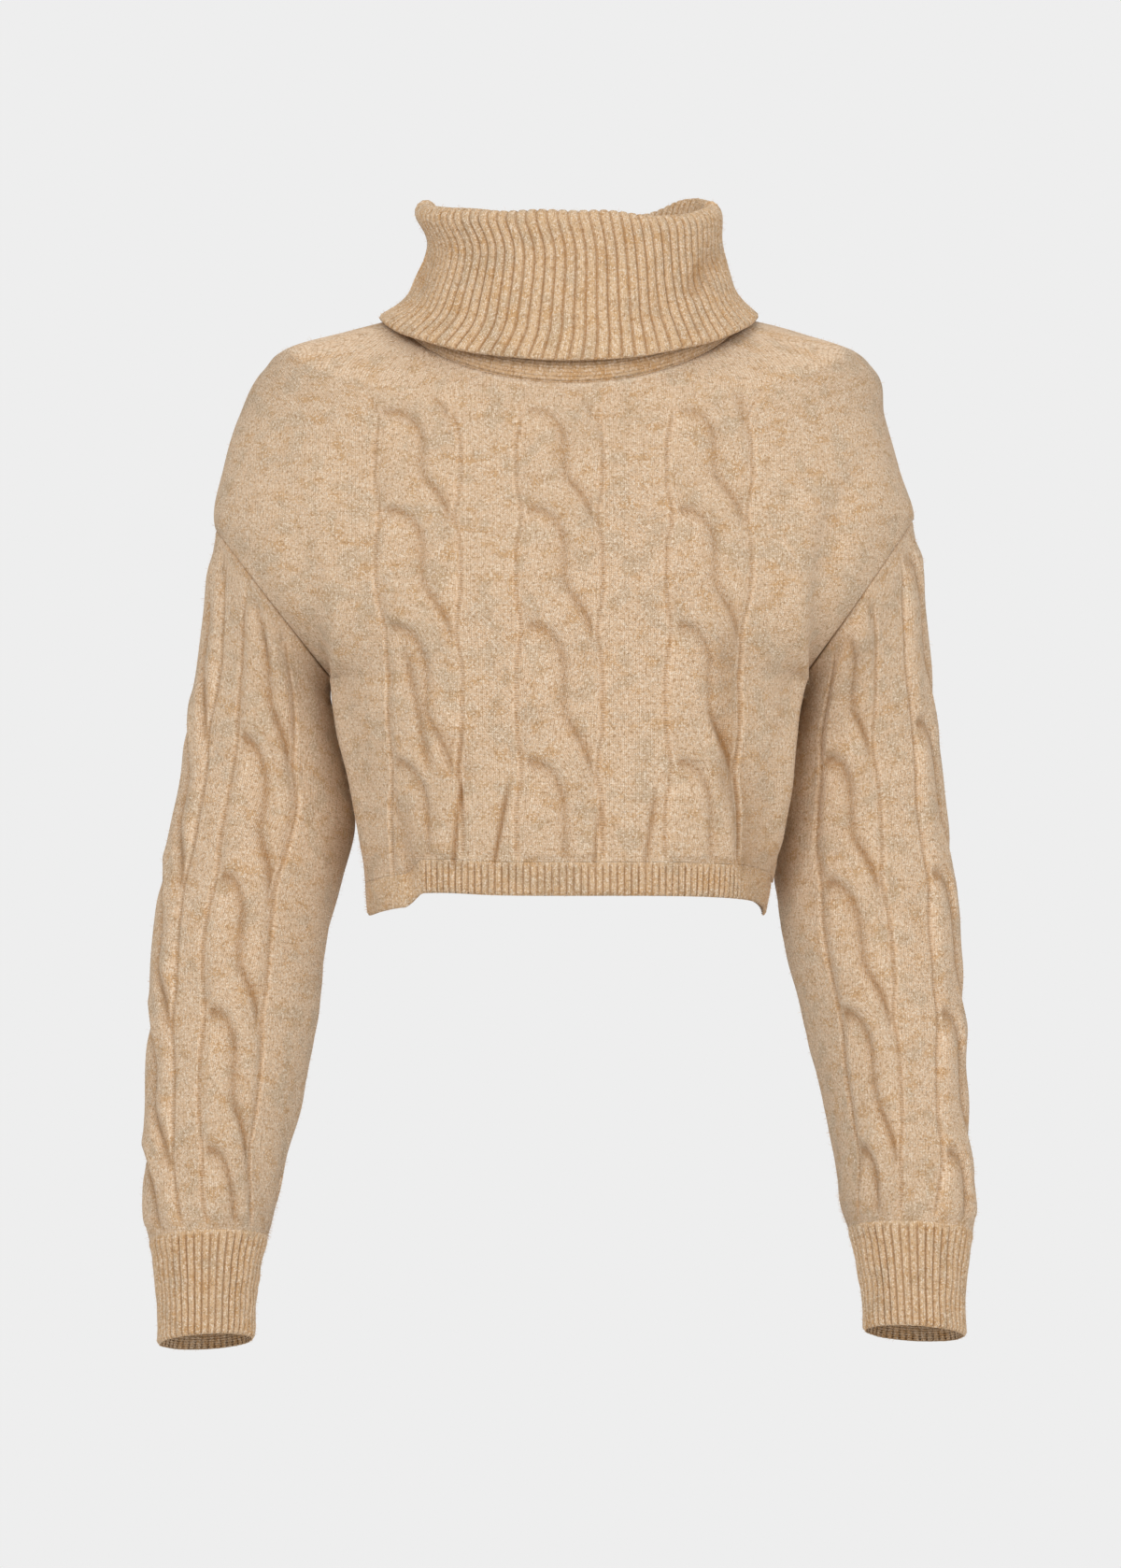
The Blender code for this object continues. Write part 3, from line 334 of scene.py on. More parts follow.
def cableGroove(a, phase, inner):
    # the groove of one cable: how it scales the rise, what it adds, and its painted shade. From
    # startX it turns down on a quarter round as wide as "run", goes straight down, and eases
    # to the right ladder; gap is the distance from its line
    startX, wide = inner * cable["start"], inner * (cable["run"] - cable["start"])
    tall = cable["arcEnd"] * cable["pitch"]
    scale, added, shade = 1.0, 0.0, 0.0
    for lap in (-1.0, 0.0, 1.0):
        q = np.mod(phase, 1.0) + lap
        up = np.minimum(q - cable["arcEnd"], 0.0) * cable["pitch"] / tall
        arc = wide * (np.hypot(np.maximum(a - startX, 0.0) / wide, up) - 1)
        t = np.clip((q - cable["tailStart"]) / cable["tailLength"], 0.0, 1.0)
        toLadder = 1 - cable["run"]
        slope = inner * toLadder * 6 * t * (1 - t) / cable["tailLength"] / cable["pitch"]
        tail = (a - inner * (cable["run"] + toLadder * ease(t))) / np.sqrt(1 + slope**2)
        inArc = q < cable["arcEnd"]
        gap = np.where(inArc, arc, tail)
        live = ease((cable["tailEnd"] - q) / cable["endFade"])
        live = live * np.where(inArc, ease((a - startX) / cable["startFade"] + 1), 1.0)
        upper = ease((cable["upperEnd"] - q) / cable["sideFade"])
        lower = ease((q - cable["lowerStart"]) / cable["sideFade"])
        left, right = gap + cable["sideAway"], gap - cable["sideAway"]
        lift = upper * hump(right, cable["liftWidth"]) + lower * hump(left, cable["liftWidth"])
        sink = upper * hump(left, cable["sinkWidth"]) + lower * hump(right, cable["sinkWidth"])
        cut = cable["grooveDepth"] * hump(gap, cable["groove"])
        cut = cut + cable["valleyDepth"] * hump(gap, cable["valley"])
        scale, added = scale * (1 - live * cut), added * (1 - live * cut)
        added = added + live * (cable["over"] * lift - cable["under"] * sink)
        side = lower - upper
        bite = cable["grooveShade"] * hump(gap - side, cable["groove"])
        bite = bite + cable["valleyShade"] * hump(gap - cable["valleyAway"] * side, cable["valley"])
        shade = np.maximum(shade, live * bite * (0.6 + 0.4 * np.maximum(upper, lower)))
    return scale, added, shade


def cableRelief(across, along, cables):
    # four values of one cable: its rise in mm, its painted shading (painted shade in the hollows
    # above 0, painted highlight on the ridges below), how far its stitches are purl, and how far
    # its wales lean across in mm. Two strands with round backs lie between the ladders. The band
    # between two grooves crosses over, swells and gets a painted highlight, and its wales slant
    # with it. A ladder is a sunk channel between two fine ridges
    half = cables["half"]
    inner = half - cable["edge"]
    phase = (cables["first"] - along) / cable["pitch"]
    wrapped = np.mod(phase + 0.5, 1.0) - 0.5
    crossing = hump(wrapped - cable["crossingAt"], cable["crossingLength"])
    a = across * (1 + cable["pinch"] * crossing)
    edge = 1 - hump(np.maximum(0.0, inner + cable["edgeInset"] - np.abs(a)), cable["round"])
    scale, added, shade = cableGroove(a, phase, inner)
    rise = edge * (cable["rise"] * scale + added)
    centre = inner * cable["bandSlope"] * (wrapped - cable["crossingAt"])
    band = hump(a - centre, cable["bandWidth"] * inner)
    rise = rise + cable["crossing"] * crossing * edge * band
    shade = shade - cable["bandHighlight"] * crossing * band
    ladder = np.abs(a) - half + cable["ladderInset"]
    channel = hump(ladder, cable["channelWidth"])
    ridges = hump(np.abs(ladder) - cable["ridgeAway"], cable["ridgeWidth"])
    rise = rise * cables["height"] - cable["channel"] * channel + cable["ridge"] * ridges
    shade = np.maximum(shade, cable["channelShade"] * channel) - cable["ridgeHighlight"] * ridges
    sweep = np.tanh(wrapped / cable["slantRun"]) - 2 * wrapped
    lean = cable["slant"] * sweep * np.maximum(0.0, 1 - (a / half) ** 2)
    return rise, shade * cables["shade"], hump(ladder, cable["purlWidth"]), lean


def addCables(across, along, cables, facing):
    # all the cables of a piece together: rise, painted shading, purl and lean of the wales
    total = np.zeros((4, *across.shape))
    for centre in cables["centres"]:
        away = facing * (across - centre)
        near = np.abs(away) < cables["half"] + cable["margin"]
        parts = np.stack(cableRelief(away, along, cables)) * near
        parts[3] *= facing
        total += parts
    return total


armpitFolds = {
    -1: [
        (-150, -380, 1, 0),
        (-150, -320, 3, 1),
        (-150, -262, 5, 2),
        (-150, -225, 4, 3),
        (-151, -190, 2, 3),
        (-158, -140, 1, 2),
        (-172, -80, 0, 0),
    ],
    1: [
        (150, -380, 4, 1),
        (150, -320, 5, 1),
        (150, -262, 6, 2),
        (148, -225, 6, 4),
        (147, -190, 5, 5),
        (153, -130, 4, 5),
        (180, -75, 0, 0),
    ],
}
foldShape = {"width": 12.0, "lipAt": -5.0, "troughAt": 14.0, "backShare": 0.25}
creaseEnds = {"fadeIn": 0.35, "end": 1.15, "fadeOut": 0.3}
# soft creases on the front: x and z of the top, x and z of the bottom, width to the left
# and to the right, depth, and the painted shade in the crease
frontCreases = [
    (-67, -282, -73, -345, 1.5, 1.8, 2.4, 0.9),
    (-37, -287, -48, -345, 1.8, 1.6, 2.6, 0.9),
    (19, -302, 15, -344, 1.7, 1.8, 2.0, 0.75),
    (54, -292, 47, -344, 1.9, 1.9, 2.0, 0.65),
    (95, -180, 98, -300, 6.0, 14.0, 3.0, 0.4),
    (97, -262, 119, -385, 7.0, 18.0, 4.0, 0.5),
    (-106, -195, -87, -285, 2.0, 4.0, 2.0, 0.55),
    (-110, -290, -98, -372, 4.0, 8.0, 3.0, 0.35),
    (-72, -255, -66, -292, 5.0, 5.0, 1.6, 0.3),
    (86, -240, 100, -285, 3.0, 4.0, 1.6, 0.4),
]


def foldRelief(points, run, hand, face):
    # lip and trough of the armpit fold by the distance across from its line
    t = readTable("x z lip trough", armpitFolds[hand])
    z = points[..., 2]
    lineX = np.abs(spline(z, t["z"], t["x"]))
    half, depth, _, _, _ = torsoSection(z, np.full(z.shape, hand), face)
    away = run - arcTo(np.arcsin(np.clip(lineX / half, 0, 0.985)), half, depth)
    lip = np.interp(z, t["z"], t["lip"]) * hump(away - foldShape["lipAt"], foldShape["width"])
    trough = np.interp(z, t["z"], t["trough"])
    trough = trough * hump(away - foldShape["troughAt"], foldShape["width"])
    share = 1.0 if face < 0 else foldShape["backShare"]
    return share * (lip - trough) * (np.sign(points[..., 0]) == hand)


def creaseRelief(points, creases):
    # soft troughs, each deepest in the middle of its line and wider to one side; and the painted
    # shade laid in them
    x, z = points[..., 0], points[..., 2]
    relief, shade = np.zeros(x.shape), np.zeros(x.shape)
    for topX, topZ, lowX, lowZ, left, right, depth, dark in creases:
        t = (topZ - z) / (topZ - lowZ)
        away = x - (topX + (lowX - topX) * t)
        share = ease(t / creaseEnds["fadeIn"])
        share = share * ease((creaseEnds["end"] - t) / creaseEnds["fadeOut"])
        share = share * hump(away, np.where(away < 0, left, right))
        relief -= depth * share
        shade = np.maximum(shade, dark * share)
    return relief, shade


# Meshes


def hexColour(code):
    # sRGB hex to linear RGBA
    parts = np.array([int(code[i : i + 2], 16) for i in (1, 3, 5)]) / 255
    linear = np.where(parts <= 0.04045, parts / 12.92, ((parts + 0.055) / 1.055) ** 2.4)
    return (*(float(c) for c in linear), 1.0)


def makeMesh(name, points, loops, totals, uv, material, marks=None):
    # a mesh object from flat arrays: points in mm, corner indices, corners per face, corner
    # UVs, and named values per point
    mesh = bpy.data.meshes.new(name)
    mesh.vertices.add(len(points))
    mesh.vertices.foreach_set("co", (points * mm).astype(np.float32).ravel())
    mesh.loops.add(len(loops))
    mesh.loops.foreach_set("vertex_index", loops.astype(np.int32))
    mesh.polygons.add(len(totals))
    starts = np.concatenate([[0], np.cumsum(totals)[:-1]])
    mesh.polygons.foreach_set("loop_start", starts.astype(np.int32))
    mesh.polygons.foreach_set("loop_total", np.asarray(totals, np.int32))
    mesh.polygons.foreach_set("use_smooth", np.ones(len(totals), bool))
    mesh.update(calc_edges=True)
    if uv is not None:
        layer = mesh.uv_layers.new(name="stitches")
        layer.data.foreach_set("uv", uv.astype(np.float32).ravel())
    for key, values in (marks or {}).items():
        layer = mesh.attributes.new(key, "FLOAT", "POINT")
        layer.data.foreach_set("value", values.astype(np.float32).ravel())
    mesh.validate()
    mesh.materials.append(material)
    piece = bpy.data.objects.new(name, mesh)
    bpy.context.scene.collection.objects.link(piece)
    return piece


def clothShell(name, outer, inner, uvGrid, step, closed, material, paintedShading, purl):
    # one closed shell: the outer grid's rows run on round the last row into every step-th
    # row of the inner grid and back to the first; open ends are closed by narrow strips.
    # the shading values paint shade into the grooves (above 0) and highlight onto the ridges
    # (below 0), purl marks where the stitches turn to rows of bumps; faces at the rims and ends
    # are flat-shaded
    count, columns = outer.shape[:2]
    lining = inner[::step][::-1]
    grid = np.concatenate([outer, lining])
    place = np.concatenate([uvGrid, uvGrid[::step][::-1]])
    index = np.arange(grid.shape[0] * columns).reshape(-1, columns)
    if closed:
        index = np.concatenate([index, index[:, :1]], axis=1)
    ring = np.concatenate([index, index[:1]])
    placeRing = np.concatenate([place, place[:1]])
    quads = [ring[:-1, :-1], ring[:-1, 1:], ring[1:, 1:], ring[1:, :-1]]
    quads = np.stack(quads, axis=-1).reshape(-1, 4)
    rimRow = np.isin(np.arange(len(grid)), (count - 1, len(grid) - 1))
    smooth = np.repeat(~rimRow, ring.shape[1] - 1)
    corners = [placeRing[:-1, :-1], placeRing[:-1, 1:]]
    corners = corners + [placeRing[1:, 1:], placeRing[1:, :-1]]
    uv = np.stack(corners, axis=-2).reshape(-1, 2)
    loops, totals = quads.ravel(), np.full(len(quads), 4)
    across = outer[1:-1, 1:] - outer[1:-1, :-1]
    along = outer[1:-1, :-1] - outer[:-2, :-1]
    sense = np.sum(np.cross(across, along) * (outer - inner)[1:-1, :-1])
    if not closed:
        for end, turnOver in ((0, False), (-1, True)):
            rim = index[:count, end]
            lined = index[count:, end][::-1]
            start = np.arange(len(lined) - 1) * step
            strip = [rim[start + i] for i in range(step + 1)] + [lined[1:], lined[:-1]]
            strip = np.stack(strip, axis=-1)
            if turnOver:
                strip = strip[:, ::-1]
            flatPlace = place.reshape(-1, 2)[strip.ravel()]
            loops = np.concatenate([loops, strip.ravel()])
            totals = np.concatenate([totals, np.full(len(strip), step + 3)])
            smooth = np.concatenate([smooth, np.zeros(len(strip), bool)])
            uv = np.concatenate([uv, flatPlace])
    if sense < 0:
        ends = np.cumsum(totals)
        starts = np.repeat(ends - totals, totals)
        lasts = np.repeat(ends - 1, totals)
        order = starts + lasts - np.arange(len(loops))
        loops, uv = loops[order], uv[order]
    marks = {}
    for key, outside, inside in (("paintedShading", paintedShading, insidePaintedShade), ("purl", purl, 1.0)):
        level = np.broadcast_to(outside, outer.shape[:2])
        marks[key] = np.concatenate([level, np.full(lining.shape[:2], inside)])
    piece = makeMesh(name, grid.reshape(-1, 3), loops, totals, uv, material, marks)
    piece.data.polygons.foreach_set("use_smooth", smooth)
    return piece


def tucked(grid, normals, reach, sink):
    # the grid with one more row before its first, reach mm further and sink mm deeper, so
    # that a seam shows cloth and no gap
    row = grid[:1] + unit(grid[:1] - grid[1:2]) * reach - normals[:1] * sink
    return np.concatenate([row, grid])


# Materials


def node(tree, kind, inputs=None, **settings):
    # adds a node with its settings; inputs maps a socket to a value or another node's socket
    made = tree.nodes.new(kind)
    for name, value in settings.items():
        setattr(made, name, value)
    for key, value in (inputs or {}).items():
        if isinstance(value, bpy.types.NodeSocket):
            tree.links.new(value, made.inputs[key])
        else:
            made.inputs[key].default_value = value
    return made


# colours, gloss, relief in metres, and how much each tint covers; shadow is painted shade in
# the hollows, sunk painted shade low in each stitch, and light both the pale flecks and the
# painted highlight on ridges
yarn = {
    "base": "#DDBF9F", "light": "#F1DFC8", "golden": "#C2935A", "dark": "#A98055",
    "grey": "#B9A68C", "sunk": "#A67A4A", "shadow": "#9A6E40", "roughness": 0.95,
    "specular": 0.2, "sheen": 0.25, "sheenRoughness": 0.45, "sheenTint": "#F3E6D2",
    "stitchHeight": 0.00042, "fuzzHeight": 0.0005, "paleShare": 0.75, "darkShare": 0.6,
    "goldenShare": 0.55, "greyShare": 0.45, "stitchShadeShare": 0.45, "shadowShare": 0.85,
    "highlightShare": 0.7,
    # one stitch, in shares of its width and height: where a leg's back lies, how round it is,
    # how steeply the legs rise to the sides, and how round a row is
    "legAt": 0.52, "legRound": 3.6, "legSlope": 0.55, "rowRound": 0.7,
    # sizes of the flecks and clouds along wales and courses, and of the rest per metre
    "fleckScale": (1.5, 0.62, 1.0), "cloudScale": (0.17, 0.16, 1.0), "speckScale": 780.0,
    "bankScale": 70.0, "hazeScale": 1150.0, "tuftScale": 330.0, "tuftShare": 1.4,
    # loose fibres
    "fibreScale": 260.0, "fibreTones": (0.35, 0.65), "fibreRoughness": 0.9,
    # where each tint starts and is full
    "clouds": (0.48, 0.68), "banks": (0.5, 0.66), "flecks": (0.5, 0.64), "stitchShadeFrom": (0.5, 0.0),
}


def newMaterial(name):
    # a material with its node tree and shader
    material = bpy.data.materials.new(name)
    material.use_nodes = True
    return material, material.node_tree, material.node_tree.nodes["Principled BSDF"]


def knitMaterial(name, look):
    # brushed wool-blend knit in a beige heather yarn: matte, with fine V-shaped stitches in
    # upright wales, rows of bumps along the ladders, pale and brown flecks a stitch or two
    # long, soft golden and grey clouds, a faint fibre haze, painted shade low in each stitch and
    # in warmer brown in the hollows, and painted highlight on the ridges
    material, tree, shader = newMaterial(name)
    stitches = node(tree, "ShaderNodeUVMap", uv_map="stitches").outputs["UV"]
    place = node(tree, "ShaderNodeTexCoord").outputs["Object"]
    paintedShading = node(tree, "ShaderNodeAttribute", attribute_name="paintedShading").outputs["Fac"]
    purl = node(tree, "ShaderNodeAttribute", attribute_name="purl").outputs["Fac"]
    split = node(tree, "ShaderNodeSeparateXYZ", {0: stitches})

    def calc(operation, a, b=0.0):
        return node(tree, "ShaderNodeMath", {0: a, 1: b}, operation=operation).outputs[0]

    def times(a, b):
        return calc("MULTIPLY", a, b)

    def minus(a, b):
        return calc("SUBTRACT", a, b)

    def noise(scale, detail, source=place):
        inputs = {"Vector": source, "Scale": scale, "Detail": detail}
        return node(tree, "ShaderNodeTexNoise", inputs).outputs[0]

    def spread(scale):
        # the stitch places at another scale, as a source for noise
        inputs = {"Vector": stitches, "Scale": look[scale]}
        return node(tree, "ShaderNodeMapping", inputs).outputs[0]

    def mixed(factor, a, b):
        # colour b laid over a colour; sockets 6 and 7 are the two colours
        inputs = {"Factor": factor, 6: a, 7: b}
        return node(tree, "ShaderNodeMix", inputs, data_type="RGBA").outputs[2]

    def tinted(colour, source, span, share, tint):
        # colour with a tint where the source lies past the span's start
        inputs = {"Value": source, "From Min": span[0], "From Max": span[1]}
        amount = node(tree, "ShaderNodeMapRange", inputs, interpolation_type="SMOOTHSTEP")
        return mixed(times(amount.outputs[0], look[share]), colour, hexColour(look[tint]))

    # one stitch: two legs of a V either side of the wale's middle, each row a round step
    d = times(calc("ABSOLUTE", minus(calc("FRACT", split.outputs[0]), 0.5)), 2.0)
    leg = calc("ABSOLUTE", minus(d, look["legAt"]))
    leg = minus(1.0, times(times(leg, leg), look["legRound"]))
    r = calc("FRACT", minus(split.outputs[1], times(d, look["legSlope"])))
    r = minus(times(r, 2.0), 1.0)
    row = minus(1.0, times(times(r, r), look["rowRound"]))
    plain = times(times(leg, row), minus(1.0, purl))
    # a purl row: a round bar across each course
    bar = minus(times(calc("FRACT", split.outputs[1]), 2.0), 1.0)
    stitch = calc("ADD", plain, times(minus(1.0, times(bar, bar)), purl))

    # flecks are stretched a little along the wales, clouds along the courses
    flecks = noise(1.0, 3.0, spread("fleckScale"))
    specks = noise(look["speckScale"], 3.0)
    clouds = noise(1.0, 3.0, spread("cloudScale"))
    banks = noise(look["bankScale"], 2.0)
    haze = noise(look["hazeScale"], 3.0)
    tufts = noise(look["tuftScale"], 2.0)

    colour = tinted(hexColour(look["base"]), clouds, look["clouds"], "goldenShare", "golden")
    colour = tinted(colour, banks, look["banks"], "greyShare", "grey")
    colour = tinted(colour, flecks, look["flecks"], "darkShare", "dark")
    colour = tinted(colour, specks, look["flecks"], "paleShare", "light")
    # painted shade where the stitch's surface lies low, between its legs and rows
    colour = tinted(colour, stitch, look["stitchShadeFrom"], "stitchShadeShare", "sunk")
    # painted highlight on the ridges, painted shade in warmer brown in the hollows
    ridge = times(calc("MAXIMUM", times(paintedShading, -1.0), 0.0), look["highlightShare"])
    colour = mixed(ridge, colour, hexColour(look["light"]))
    paintedShade = times(calc("MAXIMUM", paintedShading, 0.0), look["shadowShare"])
    colour = mixed(paintedShade, colour, hexColour(look["shadow"]))
    tree.links.new(colour, shader.inputs["Base Color"])

    # the stitches' relief, and the finer relief of brushed fibres over it
    inputs = {"Height": stitch, "Strength": 1.0, "Distance": look["stitchHeight"]}
    knit = node(tree, "ShaderNodeBump", inputs).outputs[0]
    soft = calc("ADD", haze, times(tufts, look["tuftShare"]))
    inputs = {"Height": soft, "Strength": 1.0, "Distance": look["fuzzHeight"], "Normal": knit}
    tree.links.new(node(tree, "ShaderNodeBump", inputs).outputs[0], shader.inputs["Normal"])
    shader.inputs["Roughness"].default_value = look["roughness"]
    shader.inputs["Specular IOR Level"].default_value = look["specular"]
    shader.inputs["Sheen Weight"].default_value = look["sheen"]
    shader.inputs["Sheen Roughness"].default_value = look["sheenRoughness"]
    shader.inputs["Sheen Tint"].default_value = hexColour(look["sheenTint"])
    return material


cableKnit = knitMaterial("brushedWoolBlendCableKnit", yarn)
ribYarn = {**yarn, "base": "#D9B994", "stitchHeight": 0.00036}
ribKnit = knitMaterial("brushedWoolBlendRibKnit", ribYarn)


def fibreMaterial(name, look):
    # loose wool fibres raised by brushing: matte, some pale and some golden, so the cloth's
    # edge looks soft
    material, tree, shader = newMaterial(name)
    place = node(tree, "ShaderNodeTexCoord").outputs["Object"]
    inputs = {"Vector": place, "Scale": look["fibreScale"], "Detail": 1.0}
    shade = node(tree, "ShaderNodeTexNoise", inputs)
    ramp = node(tree, "ShaderNodeValToRGB", {0: shade.outputs[0]})
    for end, at, tint in zip(ramp.color_ramp.elements, look["fibreTones"], ("golden", "light")):
        end.position, end.color = at, hexColour(look[tint])
    tree.links.new(ramp.outputs[0], shader.inputs["Base Color"])
    shader.inputs["Roughness"].default_value = look["fibreRoughness"]
    shader.inputs["Sheen Weight"].default_value = look["sheen"]
    return material


fibre = fibreMaterial("looseWoolFibre", yarn)
print("materials made")

stitchSize = {"wale": 2.34, "course": 1.55}  # mm, as of a real stitch of this yarn


def stitchPlace(wale, course):
    # UV in stitches: wales across, courses up
    across, up = wale / stitchSize["wale"], course / stitchSize["course"]
    return np.stack(np.broadcast_arrays(across, up), axis=-1)


# how far a loose fibre leans, how short it may be, how it bends, and half its breadth in mm
fibreShape = {
    "lean": (0.3, 1.6), "shortest": 0.35, "shortness": 1.5, "bend": 0.6, "halfBreadth": 0.055,
}


def fuzz(name, points, normals, count, length, seed):
    # loose fibres: each a bent needle of two narrow faces, rooted at a random grid point and
    # leaning from the normal by a random amount
    draw = np.random.default_rng(seed)
    flatPoints, flatNormals = points.reshape(-1, 3), normals.reshape(-1, 3)
    pick = draw.integers(0, len(flatPoints), count)
    root, out = flatPoints[pick], flatNormals[pick]
    wild = unit(draw.normal(size=(count, 3)))
    side = unit(np.cross(out, wild))
    lean = draw.uniform(*fibreShape["lean"], (count, 1))
    reach = draw.uniform(fibreShape["shortest"], 1.0, (count, 1)) ** fibreShape["shortness"]
    reach = length * reach
    middle = root + unit(out + side * lean * 0.5) * reach * 0.5
    tip = middle + unit(out * fibreShape["bend"] + side * lean) * reach * 0.5
    breadth = unit(np.cross(tip - root, out + 0.01)) * fibreShape["halfBreadth"]
    corners = [root - breadth, root + breadth, middle + breadth, middle - breadth, tip]
    corners = np.stack(corners, axis=1)
    index = np.arange(count)[:, None] * 5
    quad = (index + np.array([0, 1, 2, 3])).ravel()
    point = (index + np.array([3, 2, 4])).ravel()
    loops = np.concatenate([quad, point])
    totals = np.concatenate([np.full(count, 4), np.full(count, 3)])
    piece = makeMesh(name, corners.reshape(-1, 3), loops, totals, None, fibre)
    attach(piece, "root")
    return piece


# what pieces of a kind share: slot, material, size of the cut laid flat in metres, how it is
# held, whether it is a tube, how many outer rows go to one inner row, loose fibres and their
# length, and how deep the outer and the inner face tuck under the neighbour at a seam
kindNames = "slot material flat held closed step hairs hairLength tuck".split()
kinds = {
    "front": ("cable_knit", cableKnit, (0.50, 0.42), "hung", False, 8, 9000, 4.0, None),
    "back": ("cable_knit", cableKnit, (0.50, 0.42), "hung", False, 8, 6000, 4.0, None),
    "sleeve": ("cable_knit", cableKnit, (0.38, 0.46), "hung", True, 8, 8000, 4.0, (0.9, 0.0)),
    "cuff": ("rib_knit", ribKnit, (0.235, 0.072), "stretched", True, 4, 2500, 3.0, (0.9, 0.0)),
    "hem": ("rib_knit", ribKnit, (0.43, 0.022), "stretched", False, 4, 1500, 3.0, (0.9, 0.0)),
    "collar": ("rib_knit", ribKnit, (0.62, 0.20), "folded", True, 4, 8000, 4.0, (0.0, -0.9)),
}
tuckReach = 1.6


def clothPiece(name, node, kind, base, normals, rises, places, shades, seed):
    # one finished piece of cloth: its outer and inner face stand off the base grid by the two
    # rises; places are its stitch UVs and shades its painted shade and highlight and its purl
    # values. Loose fibres grow on the outer face. It rides on the root, and its CAD part is hidden
    how = dict(zip(kindNames, kinds[kind]))
    faces = [base + normals * rise[..., None] for rise in rises]
    shades = [np.broadcast_to(shade, base.shape[:2]) for shade in shades]
    fibres = faces[0]
    if how["tuck"]:
        faces = [tucked(face, normals, tuckReach, sink) for face, sink in zip(faces, how["tuck"])]
        places, *shades = [np.concatenate([values[:1], values]) for values in (places, *shades)]
    piece = clothShell(name, *faces, places, how["step"], how["closed"], how["material"], *shades)
    hairs = fuzz(name + "Fuzz", fibres, normals, how["hairs"], how["hairLength"], seed)
    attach(piece, "root")
    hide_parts(node)


# Body panels

# distances in mm over which relief and folds fade near the edges, and the seams' relief
# and their painted shade and highlight
seams = {
    "edgeFade": 14.0, "neckFade": 10.0, "hemFade": 6.0, "foldFade": 25.0,
    # cables end below the neck along a curve that falls towards the sides
    "cableFade": 30.0, "cableFadeSide": 25.0,
    # an armhole's groove runs only above this height
    "holeFrom": -228.0, "farFromHole": 40.0, "grooveAt": 0.9, "groove": 0.5, "ridgeAway": 2.6,
    # painted shade in the armhole's groove, painted highlight on the neck seam's raised line
    "ridgeWidth": 1.2, "ridge": 0.35, "holeShade": 0.5, "neckLineAway": 2.0,
    "neckLineRise": 0.3, "neckLineHighlight": 0.5, "edgeRound": 6.0,
}


def ringNormals(hand, turn, face):
    # outward normals of the armhole ring: down at the underarm, out at the shoulder
    s = ((1 - np.cos(turn)) / 2)[:, None]
    flat = (1 - s) * np.array([0.0, 0.0, -1.0]) + s * np.array([hand * 0.98, 0.0, 0.2])
    return unit(flat + np.sin(turn)[:, None] * np.array([0.0, float(face), 0.0]))


def seamDip(distance):
    # a linked seam: a fine groove at the edge with a low ridge beside it
    beside = seams["ridge"] * hump(distance - seams["ridgeAway"], seams["ridgeWidth"])
    return beside - seams["groove"] * hump(distance, seams["grooveAt"])


def sideNormals(line, hand, v, face):
    # outward normals down a panel's side edge, square to it in the front view, and those of
    # the armhole ring where it runs
    first, last = body["sideRows"], body["sideRows"] + body["holeRows"]
    along = np.gradient(line[:, [0, 2]], axis=0)
    flatOut = unit(np.stack([along[:, 1], -along[:, 0]], axis=-1) * hand)
    steep = np.abs(flatOut[:, :1]) > 0.3
    flatOut *= np.where(steep, np.sign(flatOut[:, :1]) * hand, np.sign(flatOut[:, 1:]))
    edgeNormals = points3(flatOut[:, 0], 0 * flatOut[:, 0], flatOut[:, 1])
    turn = math.pi * (np.clip(v, first, last) - first) / body["holeRows"]
    inHole = ((v >= first) & (v <= last))[:, None]
    return np.where(inHole, ringNormals(hand, turn, face), edgeNormals)


